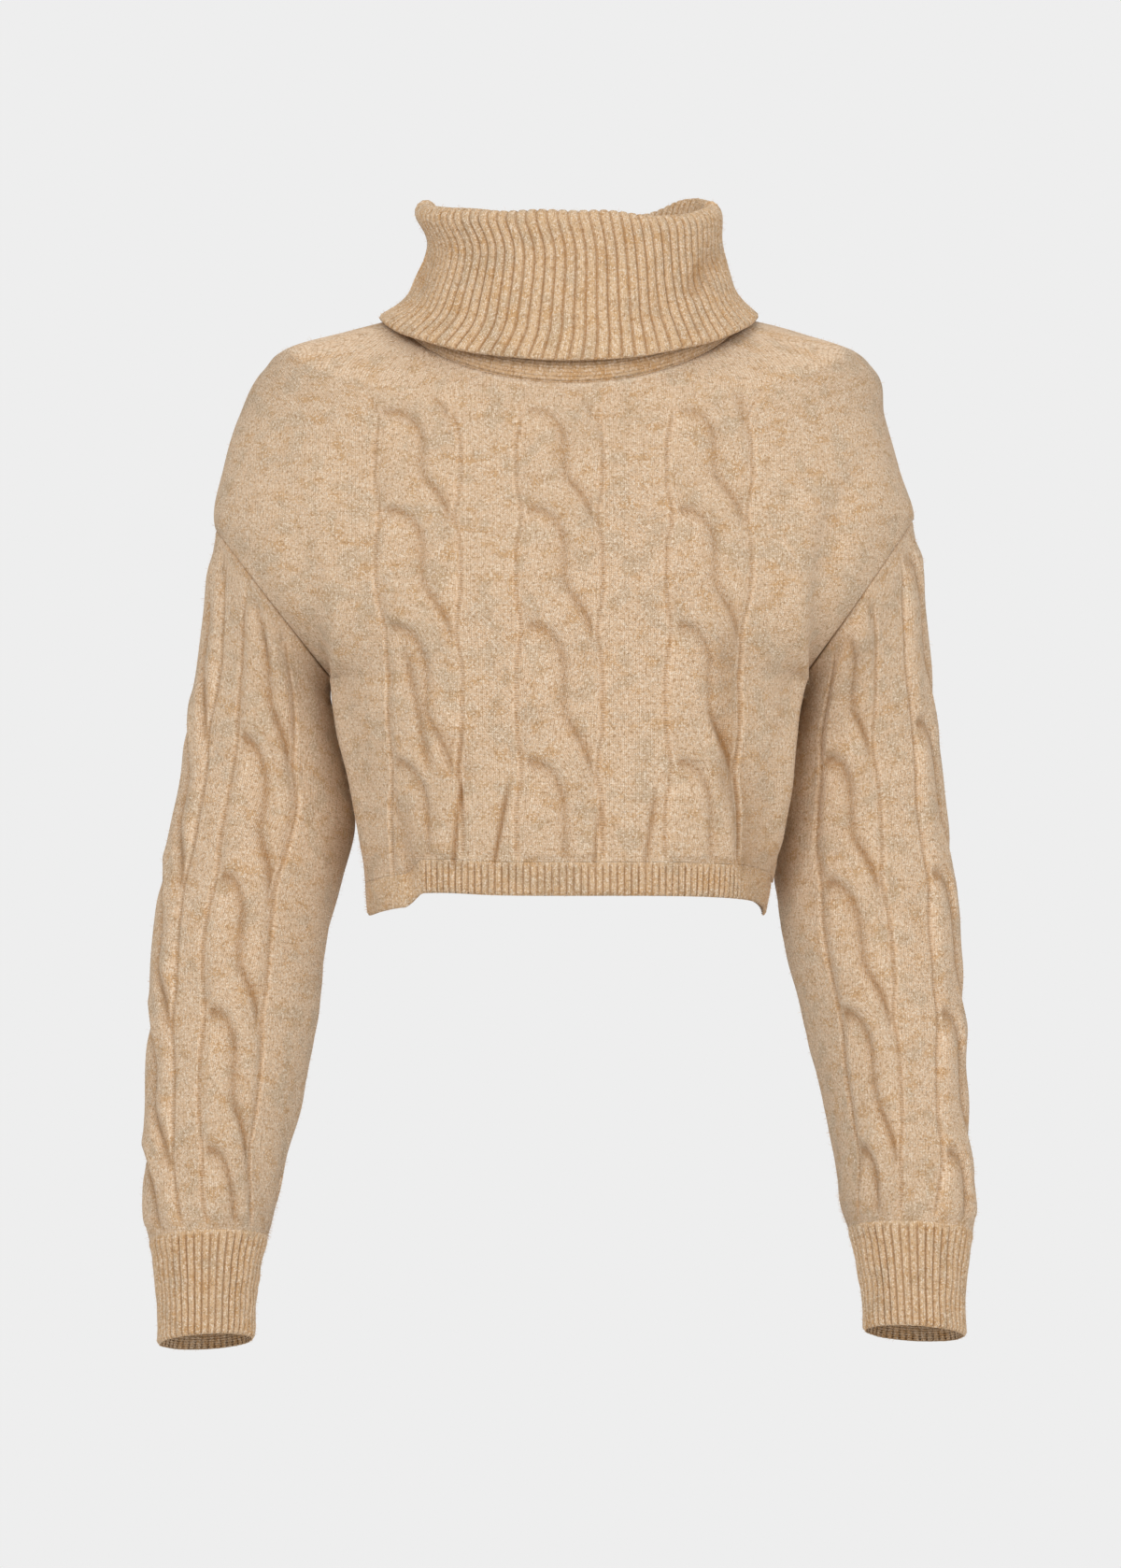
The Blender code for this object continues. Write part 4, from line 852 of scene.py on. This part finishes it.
def bodyPanel(name, node, face, seed):
    # a panel's grid, raised by cables, folds, creases and seams, each fading near the edges
    kind = "front" if face < 0 else "back"
    u = np.linspace(-1, 1, body[kind + "Columns"])
    rows = body["sideRows"] + body["holeRows"] + body["shoulderRows"]
    v = np.linspace(0, rows, body[kind + "Rows"] + 1)
    base, wale, course, run, full = panelGrid(face, u, v)
    normals = gridNormals(base, False, np.array([0.0, float(face), 0.0]))
    # the creases' relief and their painted shade, weaker on the back
    creases, shade = creaseRelief(base, frontCreases)
    if face > 0:
        creases, shade = creases * body["backCreases"], shade * body["backCreases"]
    fold = body["unevenness"] * softNoise(wale, course, body["unevenSize"], seed)
    for hand in (-1, 1):
        fold = fold + foldRelief(base, run, hand, face)
    below = neck["frontZ"] - base[..., 2] + seams["cableFadeSide"] * np.abs(u) ** 2
    cables = addCables(wale, course, bodyCables, -face) * ease(below / seams["cableFade"])
    rise, cableShading, purl, lean = cables
    toEdge = full - run
    toHem = base[..., 2] - base[:1, :, 2]
    toNeck = np.linalg.norm(base[-1:] - base, axis=-1)
    toHole = np.where(base[..., 2] > seams["holeFrom"], toEdge, seams["farFromHole"])
    nearEdge = ease(toEdge / seams["edgeFade"])
    still = nearEdge * ease(toNeck / seams["neckFade"])
    calm = still * ease(toHem / seams["hemFade"])
    fold = (fold * ease(toHem / seams["foldFade"]) + creases) * still
    neckLine = hump(toNeck - seams["neckLineAway"], 1.0)
    rise = rise * calm + seamDip(toHole) + seams["neckLineRise"] * neckLine
    # painted shade in the creases, cable grooves and armhole seam, painted highlight on the ridges
    # and on the neck seam's line
    paintedShading = shade * nearEdge + cableShading * calm
    paintedShading = np.maximum(paintedShading, seams["holeShade"] * hump(toHole, 1.0))
    paintedShading = paintedShading - seams["neckLineHighlight"] * neckLine
    for hand, col in ((-1, 0), (1, -1)):
        edgeNormals = sideNormals(base[:, col], hand, v, face)
        weight = hump(np.abs(u - u[col]) * body["halfWidth"], seams["edgeRound"])[None, :, None]
        normals = unit(normals * (1 - weight) + edgeNormals[:, None] * weight)
    places = stitchPlace(wale - lean, course)
    rises, shades = (fold + rise, fold - wall), (paintedShading, purl)
    clothPiece(name, node, kind, base, normals, rises, places, shades, seed)


bodyPanel("frontPanel", "front_panel", -1, 3)
bodyPanel("backPanel", "back_panel", 1, 5)

# Sleeves and cuffs

ringNames = "outerX outerZ innerX innerZ depth y tilt"
sleeveRings = {
    -1: [
        (-227, -130, -153, -225, 62, 5, 0),
        (-232, -160, -154, -241, 61, 10, 1),
        (-238, -205, -149, -262, 60, 16, 2),
        (-246, -250, -142, -290, 60, 19, 3),
        (-252, -295, -139, -322, 60, 18, 4),
        (-260, -340, -147, -355, 59, 14, 5),
        (-268, -390, -157, -394, 57, 6, 7),
        (-270, -440, -161, -440, 55, -2, 9),
        (-271, -490, -170, -488, 52, -13, 11),
        (-271, -535, -181, -532, 47, -24, 12),
        (-270, -565, -187, -562, 42, -31, 13),
        (-267, -584, -192, -581, 37, -36, 14),
    ],
    1: [
        (220, -124, 149, -225, 62, 5, 0),
        (226, -160, 149, -243, 61, 11, 1),
        (232, -205, 144, -264, 60, 19, 2),
        (237, -250, 138, -291, 60, 23, 3),
        (242, -295, 136, -322, 60, 23, 4),
        (247, -340, 133, -354, 59, 20, 5),
        (252, -390, 138, -394, 57, 12, 7),
        (254, -440, 149, -440, 55, 2, 9),
        (255, -490, 160, -488, 52, -10, 11),
        (257, -535, 169, -532, 47, -22, 12),
        (258, -560, 172, -558, 42, -29, 13),
        (256, -579, 177, -576, 37, -34, 14),
    ],
}
cuffRings = {
    -1: [
        sleeveRings[-1][-1],
        (-264, -600, -196, -597, 34, -39, 14),
        (-261, -624, -199, -620, 32, -44, 15),
        (-260, -648, -200, -644, 32, -49, 15),
    ],
    1: [
        sleeveRings[1][-1],
        (253, -595, 181, -592, 34, -37, 14),
        (250, -620, 185, -616, 32, -42, 15),
        (250, -643, 186, -639, 32, -47, 15),
    ],
}
sleeve = {
    # half the girth over which the wales stay even, and the power by which they ease to fit
    # at the inner line
    "halfRound": 178.0, "spread": 2.2, "rows": 247, "columns": 208, "unevenness": 0.8,
    "unevenSize": 45.0, "topFade": 26.0, "cuffFade": 12.0,
    # the outer line is drawn in between shoulder and cuff; painted shade lies along the
    # armhole seam
    "drawnIn": 2.4, "drawnWidth": 40.0, "drawnFade": 60.0, "seamShade": 0.4, "cuffDip": 0.4,
    "cuffDipWidth": 1.2,
}
# sunk: how far a band lies lower than its ridges' middle, so no edge stands up at its seam;
# the radii turn angles into lengths for the unevenness and the stitches
cuff = {
    "ribs": 43, "perRib": 10, "rows": 35, "rib": 1.1, "sunk": 0.4, "fadeIn": 3.5,
    "unevenness": 0.5, "unevenSize": 22.0, "unevenRadius": 35.0, "unevenFade": 8.0,
    # shade: strength of the painted shade in the rib grooves
    "placeRadius": 33.0, "shade": 0.85,
}
ribForm = {
    # a groove's depth and width in shares of a rib, the width of its painted shade, and a faint
    # line of painted shade down each ridge
    "groove": 1.5, "grooveWidth": 0.15, "shadeWidth": 0.12, "line": 0.12, "lineWidth": 0.07,
    # the rounded edge where a rib ends, and the inner face's shallower rib
    "edge": 1.3, "innerRib": 0.45, "innerFade": 1.5,
}


def tubeRings(rings, t, turn):
    # ring points of a sleeve or cuff at t (0 to 1) and turn (0 outer line, half a turn inner
    # line): each ring is an ellipse from its outer to its inner end, tipped up at the front
    s = readTable(ringNames, rings)
    at = np.linspace(0, 1, len(rings))
    outerX, outerZ = spline(t, at, s["outerX"]), spline(t, at, s["outerZ"])
    innerX, innerZ = spline(t, at, s["innerX"]), spline(t, at, s["innerZ"])
    depth, mid = spline(t, at, s["depth"]), spline(t, at, s["y"])
    tilt = np.radians(spline(t, at, s["tilt"]))
    c, sn = np.cos(turn), np.sin(turn)
    x = (outerX + innerX) / 2 + (outerX - innerX) / 2 * c
    y = mid - depth * sn * np.cos(tilt)
    z = (outerZ + innerZ) / 2 + (outerZ - innerZ) / 2 * c + depth * sn * np.sin(tilt)
    return points3(x, y, z)


def sleeveTurns(hand, t, u):
    # turns round the sleeve of its columns: even wales near the outer line, easing to fit
    # the sleeve's girth at the inner line
    s = readTable(ringNames, sleeveRings[hand])
    at = np.linspace(0, 1, len(sleeveRings[hand]))
    tall = spline(t, at, s["outerZ"] - s["innerZ"])
    breadth = np.hypot(spline(t, at, s["outerX"] - s["innerX"]), tall) / 2
    around = math.pi / 2 * (breadth + spline(t, at, s["depth"]))
    eased = (around - sleeve["halfRound"]) * np.abs(u) ** sleeve["spread"]
    run = sleeve["halfRound"] * np.abs(u) + eased
    return np.sign(u) * np.pi * run / around


def closedPlaces(wale, course, loop):
    # UV with one more column, so the last wales meet the first
    wale = np.concatenate([wale, wale[:, :1] + loop], axis=1)
    course = np.concatenate([course, course[:, :1]], axis=1)
    return stitchPlace(wale, course)


def makeSleeve(name, node, hand, seed):
    # rings of the sleeve, raised by cables and unevenness, with a seam at the armhole
    u = -1 + 2 * (np.arange(sleeve["columns"]) + 1) / sleeve["columns"]
    t = np.linspace(0, 1, sleeve["rows"] + 1)[:, None]
    base = tubeRings(sleeveRings[hand], t, sleeveTurns(hand, t, u))
    centre = base.mean(axis=1, keepdims=True)
    normals = gridNormals(base, True, base - centre)
    wale = np.broadcast_to(u * sleeve["halfRound"], base.shape[:2])
    along = np.broadcast_to(centre[..., 2], wale.shape)
    cables = {**sleeveCables, "centres": sleeveCentres[hand]}
    rise, cableShading, purl, lean = addCables(wale, along, cables, -hand)
    toTop = np.linalg.norm(base - base[:1], axis=-1)
    toCuff = np.linalg.norm(base - base[-1:], axis=-1)
    calm = ease(toTop / sleeve["topFade"]) * ease(toCuff / sleeve["cuffFade"])
    uneven = sleeve["unevenness"] * softNoise(wale, along, sleeve["unevenSize"], seed)
    drawn = sleeve["drawnIn"] * hump(wale, sleeve["drawnWidth"])
    drawn = drawn * ease(toTop / sleeve["drawnFade"]) * ease(toCuff / sleeve["drawnFade"])
    rise = (rise + uneven) * calm - drawn + seamDip(toTop)
    rise = rise - sleeve["cuffDip"] * hump(toCuff, sleeve["cuffDipWidth"])
    # painted shade in the cable grooves and along the armhole seam
    paintedShading = np.maximum(cableShading * calm, sleeve["seamShade"] * hump(toTop, 1.0))
    places = closedPlaces(wale - lean, along, 2 * sleeve["halfRound"])
    rises, shades = (rise, np.full(rise.shape, -wall)), (paintedShading, purl * calm)
    clothPiece(name, node, "sleeve", base, normals, rises, places, shades, seed)


def ribWave(phase):
    # broad flat ridges and narrow grooves: 1 on a ridge, less a bell curve in a groove
    away = np.abs(np.mod(phase, 1.0) - 0.5)
    return 1.0 - ribForm["groove"] * hump(away, ribForm["grooveWidth"])


def ribShade(phase, share):
    # painted shade in the grooves of a rib, with a faint line of painted shade down each ridge
    away = np.abs(np.mod(phase, 1.0) - 0.5)
    line = ribForm["line"] * hump(0.5 - away, ribForm["lineWidth"])
    return share * (hump(away, ribForm["shadeWidth"]) + line)


def roundEdge(distance, radius):
    # how far a face draws in towards the middle of the wall near a rounded edge
    d = np.clip(distance, 0.0, radius)
    return radius - np.sqrt(np.maximum(0.0, radius**2 - (radius - d) ** 2))


def ribFaces(form, wave, grown, toEnd, folds):
    # rises of a rib band's outer and inner face: ribs on the folds, drawn in at the end
    away = roundEdge(toEnd, ribForm["edge"])
    inside = ribForm["innerRib"] * wave * ease(toEnd / ribForm["innerFade"]) * grown
    outer = form["rib"] * (wave - form["sunk"]) * grown - away + folds
    return outer, -wall + away + folds - inside


def makeCuff(name, node, hand, seed):
    # rings of the cuff with upright ribs that grow from its seam to its rounded end
    columns = cuff["ribs"] * cuff["perRib"]
    turn = -math.pi + 2 * math.pi * (np.arange(columns) + 1) / columns
    t = np.linspace(0, 1, cuff["rows"] + 1)[:, None]
    base = tubeRings(cuffRings[hand], t, turn)
    normals = gridNormals(base, True, base - base.mean(axis=1, keepdims=True))
    step = math.pi / cuff["ribs"]
    phase = (turn + math.pi - step) / (2 * step)
    wave = ribWave(phase)
    toTop = np.linalg.norm(base - base[:1], axis=-1)
    toEnd = np.linalg.norm(base - base[-1:], axis=-1)
    grown = ease(toTop / cuff["fadeIn"])
    around = np.broadcast_to(turn * cuff["unevenRadius"], toTop.shape)
    uneven = cuff["unevenness"] * softNoise(around, toTop, cuff["unevenSize"], seed)
    uneven = uneven * ease(toTop / cuff["unevenFade"])
    rises = ribFaces(cuff, wave, grown, toEnd, uneven)
    wale = np.broadcast_to(turn * cuff["placeRadius"], toTop.shape)
    places = closedPlaces(wale, -toTop, 2 * math.pi * cuff["placeRadius"])
    shades = (ribShade(phase, cuff["shade"]) * grown, 0.0)
    clothPiece(name, node, "cuff", base, normals, rises, places, shades, seed)


for hand, side in ((-1, "left"), (1, "right")):
    makeSleeve("sleeve" + side.capitalize(), "sleeve_" + side, hand, 20 + hand)
    makeCuff("cuff" + side.capitalize(), "cuff_" + side, hand, 30 + hand)

# Hem ribs

hem = {
    # shade: strength of the painted shade in the rib grooves
    "ribs": 90, "perRib": 10, "rows": 11, "rib": 1.0, "sunk": 0.6, "fadeIn": 3.0, "shade": 0.8,
    # the front's ribs are fainter left of the first and right of the second x
    "leftEnd": -97.0, "rightEnd": 113.0, "endFade": 8.0, "endShare": 0.12,
    # how much less of the panel's creases runs on into the rib, and over what drop
    "creaseLoss": 0.4, "creaseFade": 12.0,
}


def makeHem(name, node, face, seed):
    # a narrow band that runs on below its panel, with upright ribs and the panel's creases
    u = np.linspace(-1, 1, hem["ribs"] * hem["perRib"] + 1)
    topZ = body["hemMiddle"] + (body["hemSide"] - body["hemMiddle"]) * hemShare(u, face)
    drop = (np.linspace(0, 1, hem["rows"] + 1) * body["hemHeight"])[:, None]
    base, wale, _, _ = sectionPoints(topZ - drop, u, face)
    normals = gridNormals(base, False, np.array([0.0, float(face), 0.0]))
    normals[:, 0], normals[:, -1] = (-1.0, 0.0, 0.0), (1.0, 0.0, 0.0)
    phase = (u + 1) / 2 * hem["ribs"]
    wave = ribWave(phase)
    grown = ease(drop / hem["fadeIn"]) * np.ones(len(u))
    if face < 0:
        x = base[..., 0]
        between = ease((x - hem["leftEnd"]) / hem["endFade"])
        between = (1 - hem["endShare"]) * between * ease((hem["rightEnd"] - x) / hem["endFade"])
        grown = grown * (hem["endShare"] + between)
    # the panel's creases and their painted shade run on into the rib
    pulled, shade = creaseRelief(base, frontCreases)
    kept = 1.0 if face < 0 else body["backCreases"]
    kept = kept * (1 - hem["creaseLoss"] * ease(drop / hem["creaseFade"]))
    pulled, shade = pulled * kept, shade * kept
    rises = ribFaces(hem, wave, grown, body["hemHeight"] - drop, pulled)
    shades = (np.maximum(ribShade(phase, hem["shade"]) * grown, shade), 0.0)
    places = stitchPlace(wale, topZ - drop)
    clothPiece(name, node, "hem", base, normals, rises, places, shades, seed)


makeHem("hemRibFront", "hem_rib_front", -1, 41)
makeHem("hemRibBack", "hem_rib_back", 1, 42)

# Roll collar

collar = {
    "sideY": 2.0, "wall": 2.6, "ribs": 90, "perRib": 9, "rows": 83, "rib": 1.25,
    # shade: strength of the painted shade in the rib grooves
    "innerRib": 0.7, "shade": 0.9, "edge": 1.4,
    # ribs grow from the seam, and are stretched flatter over the fold
    "fadeIn": 5.0, "seamFade": 6.0, "flatter": 0.35, "foldAt": 3.3, "foldLength": 0.8,
    "turnedFrom": 4.5,
    # the front dips towards +X, where the back rim lifts
    "dipX": 62.0, "dipWidth": 28.0, "liftAt": 0.88, "liftWidth": 0.33, "liftEdge": 0.45,
    "unevenness": 0.7, "unevenSize": 48.0, "unevenFrom": 0.6, "placeRadius": 95.0,
}
collarStrip = readTable(
    "half shift sideZ frontY frontZ backY backZ fall dip lift",
    [
        (110.0, 0.0, 6.0, -91.0, -43.0, 66.0, 6.0, 1.3, 0, 0),
        (92.0, 1.0, 24.0, -82.0, -6.0, 59.0, 24.0, 1.2, 0, 0),
        (83.0, 1.0, 60.0, -72.0, 48.0, 55.0, 57.0, 0.9, 2, 4),
        (89.5, -1.0, 78.5, -77.0, 63.5, 61.0, 72.5, 0.8, 4, 8),
        (96.0, -1.0, 73.5, -82.0, 59.5, 66.0, 69.0, 0.8, 4, 8),
        (92.5, 3.5, 53.0, -85.0, 38.0, 67.5, 53.0, 0.9, 2, 4),
        (100.5, 2.5, 27.0, -90.0, 2.0, 76.0, 27.0, 1.1, 0, 0),
        (107.5, 2.0, 16.5, -93.0, -13.0, 81.0, 13.5, 1.2, 0, 0),
        (121.0, -1.0, 5.5, -98.0, -29.5, 89.0, 3.0, 1.3, 0, 0),
    ],
)
# creases on the collar's turned layer, in the columns of the front's, with painted shade
collarCreases = [
    (92, 56, 76, 14, 7.0, 9.0, 3.0, 0.5),
    (-84, 56, -96, 18, 8.0, 8.0, 1.8, 0.25),
    (60, 40, 48, -6, 10.0, 10.0, 1.2, 0.15),
]


def makeCollar(name, node, seed):
    # the strip runs up the stand, over the fold and down the turned layer: each row is an
    # ellipse of its own half-width, front and back, whose height falls towards the middle
    columns = collar["ribs"] * collar["perRib"]
    turn = -math.pi / 2 + 2 * math.pi * np.arange(columns) / columns
    knots = np.arange(float(len(collarStrip["half"])))
    steps = np.hypot(np.diff(collarStrip["half"]), np.diff(collarStrip["sideZ"]))
    length = np.concatenate([[0.0], np.cumsum(steps)])
    even = np.linspace(0, length[-1], collar["rows"] + 1)
    t = np.interp(even, length, knots)[:, None]
    row = {key: spline(t, knots, values) for key, values in collarStrip.items()}
    near = np.abs(np.cos(turn))
    front = np.cos(turn) > 0
    middleY = np.where(front, row["frontY"], row["backY"])
    middleZ = np.where(front, row["frontZ"], row["backZ"])
    x = row["shift"] + row["half"] * np.sin(turn)
    y = collar["sideY"] + (middleY - collar["sideY"]) * near
    z = row["sideZ"] + (middleZ - row["sideZ"]) * near ** row["fall"]
    z = z - front * row["dip"] * hump(x - collar["dipX"], collar["dipWidth"])
    lift = ~front * row["lift"] * hump(np.sin(turn) - collar["liftAt"], collar["liftWidth"])
    path = points3(x, y, z + lift * ease(near / collar["liftEdge"]))
    # the outside is told by a row low on the turned layer
    low = collar["rows"] * 7 // 8
    outward = np.zeros(path.shape)
    outward[low] = path[low] - path[low].mean(axis=0)
    normals = gridNormals(path, True, outward)
    toSeam = even[:, None] * np.ones(columns)
    toEnd = (even[-1] - even)[:, None] * np.ones(columns)
    phase = (turn + math.pi / 2) / (2 * math.pi) * collar["ribs"]
    wave = ribWave(phase)
    stretched = collar["flatter"] * hump(t - collar["foldAt"], collar["foldLength"])
    grown = ease(toSeam / collar["fadeIn"]) * (1 - stretched)
    away = roundEdge(toEnd, collar["edge"])
    # the creases' relief and painted shade, on the turned layer's front only
    folds, shade = creaseRelief(path, collarCreases)
    onFront = (path[..., 1] < 0) * ease(t - collar["turnedFrom"])
    folds, shade = folds * onFront, shade * onFront
    around = np.broadcast_to(turn * collar["placeRadius"], toSeam.shape)
    uneven = collar["unevenness"] * softNoise(around, toSeam, collar["unevenSize"], seed)
    folds = folds + uneven * ease(t - collar["unevenFrom"])
    half = collar["wall"] / 2
    folds = folds + half * (1 - ease(toSeam / collar["seamFade"]))
    outer = half + collar["rib"] * wave * grown - away + folds
    inner = -half + away + folds - collar["innerRib"] * wave * grown
    places = closedPlaces(around, -toSeam, 2 * math.pi * collar["placeRadius"])
    shades = (np.maximum(ribShade(phase, collar["shade"]) * grown, shade), 0.0)
    clothPiece(name, node, "collar", path, normals, (outer, inner), places, shades, seed)


makeCollar("rollCollar", "roll_collar", 51)
print("cloth made")

# Floor, light and camera, in metres and watts

studio = {
    "floor": "#EFEFEF", "floorZ": -1.05, "floorRings": (0.4, 0.8, 1.2, 1.6, 2.0, 2.6, 3.4),
    "floorSides": 48, "fadeFrom": 0.25, "fadeTo": 1.3, "background": "#EEEEEE", "fill": 0.66,
    "sensor": 36.0, "distance": 3.2, "aimX": -0.006, "aimZ": -0.2934, "viewHeight": 1.0068,
    "lightAim": (0, 0, -0.3), "lightSize": 1.6,
}
# each light's place and power
lights = {
    "keyLight": ((-0.95, -2.8, 1.2), 42.5),
    "fillLight": ((1.5, -2.6, 0.4), 25),
    "backLight": ((0.4, 2.6, 1.6), 16),
}


def makeFloor():
    # a plain pale floor that fades into the background with distance from the middle: rings
    # of points at growing radii, and one point in the middle
    n = studio["floorSides"]
    radii = np.array(studio["floorRings"])[:, None]
    turn = np.linspace(0, 2 * math.pi, n, endpoint=False)
    points = points3(radii * np.cos(turn), radii * np.sin(turn), studio["floorZ"])
    points = np.concatenate([points.reshape(-1, 3), [[0.0, 0.0, studio["floorZ"]]]]) / mm
    index = np.arange(len(radii) * n).reshape(-1, n)
    index = np.concatenate([index, index[:, :1]], axis=1)
    quads = [index[:-1, :-1], index[1:, :-1], index[1:, 1:], index[:-1, 1:]]
    quads = np.stack(quads, axis=-1).reshape(-1, 4)
    fans = np.stack([np.full(n, len(points) - 1), index[0, :-1], index[0, 1:]], axis=-1)
    loops = np.concatenate([quads.ravel(), fans.ravel()])
    totals = np.concatenate([np.full(len(quads), 4), np.full(len(fans), 3)])
    material, tree, shader = newMaterial("paleStudioFloor")
    shader.inputs["Base Color"].default_value = hexColour(studio["floor"])
    shader.inputs["Roughness"].default_value = 0.9
    place = node(tree, "ShaderNodeTexCoord").outputs["Object"]
    inputs = {0: place, 1: (1.0, 1.0, 0.0)}
    flat = node(tree, "ShaderNodeVectorMath", inputs, operation="MULTIPLY").outputs[0]
    reach = node(tree, "ShaderNodeVectorMath", {0: flat}, operation="LENGTH").outputs["Value"]
    inputs = {"Value": reach, "From Min": studio["fadeFrom"], "From Max": studio["fadeTo"]}
    inputs.update({"To Min": 1.0, "To Max": 0.0})
    fade = node(tree, "ShaderNodeMapRange", inputs, interpolation_type="SMOOTHSTEP").outputs[0]
    tree.links.new(fade, shader.inputs["Alpha"])
    makeMesh("paleFloor", points, loops, totals, None, material)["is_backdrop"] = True


def makeWorld():
    # pale backdrop to the eye, weaker fill to the cloth
    world = bpy.data.worlds.new("paleStudio")
    world.use_nodes = True
    tree = world.node_tree
    tree.nodes.clear()
    inputs = {"Color": hexColour(studio["background"]), "Strength": 1.0}
    seen = node(tree, "ShaderNodeBackground", inputs)
    inputs = {"Color": (1.0, 1.0, 1.0, 1.0), "Strength": studio["fill"]}
    felt = node(tree, "ShaderNodeBackground", inputs)
    ray = node(tree, "ShaderNodeLightPath").outputs["Is Camera Ray"]
    blend = node(tree, "ShaderNodeMixShader", {0: ray, 1: felt.outputs[0], 2: seen.outputs[0]})
    node(tree, "ShaderNodeOutputWorld", {"Surface": blend.outputs[0]})
    bpy.context.scene.world = world


def softbox(name, place, power):
    # a square area light at place, facing the garment
    light = bpy.data.lights.new(name, "AREA")
    light.shape, light.size, light.energy = "SQUARE", studio["lightSize"], power
    lamp = bpy.data.objects.new(name, light)
    away = np.array(place, float) - np.array(studio["lightAim"], float)
    yaw = math.atan2(away[0], -away[1])
    pitch = math.atan2(away[2], math.hypot(away[0], away[1]))
    lamp.location = place
    lamp.rotation_euler = (math.pi / 2 - pitch, 0.0, yaw)
    bpy.context.scene.collection.objects.link(lamp)


makeFloor()
makeWorld()
for name, (place, power) in lights.items():
    softbox(name, place, power)

camera = bpy.data.cameras.new("camera")
camera.sensor_width = studio["sensor"]
camera.lens = studio["sensor"] * studio["distance"] / studio["viewHeight"]
cameraObject = bpy.data.objects.new("camera", camera)
cameraObject.location = (studio["aimX"], -studio["distance"], studio["aimZ"])
cameraObject.rotation_euler = (math.pi / 2, 0.0, 0.0)
bpy.context.scene.collection.objects.link(cameraObject)
bpy.context.scene.camera = cameraObject
bpy.context.scene.view_settings.view_transform = "Standard"
print("studio made")

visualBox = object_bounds()
boxes = {"cad": cadBox, "visual": visualBox}
boxes = {key: [list(corner) for corner in box] for key, box in boxes.items()}
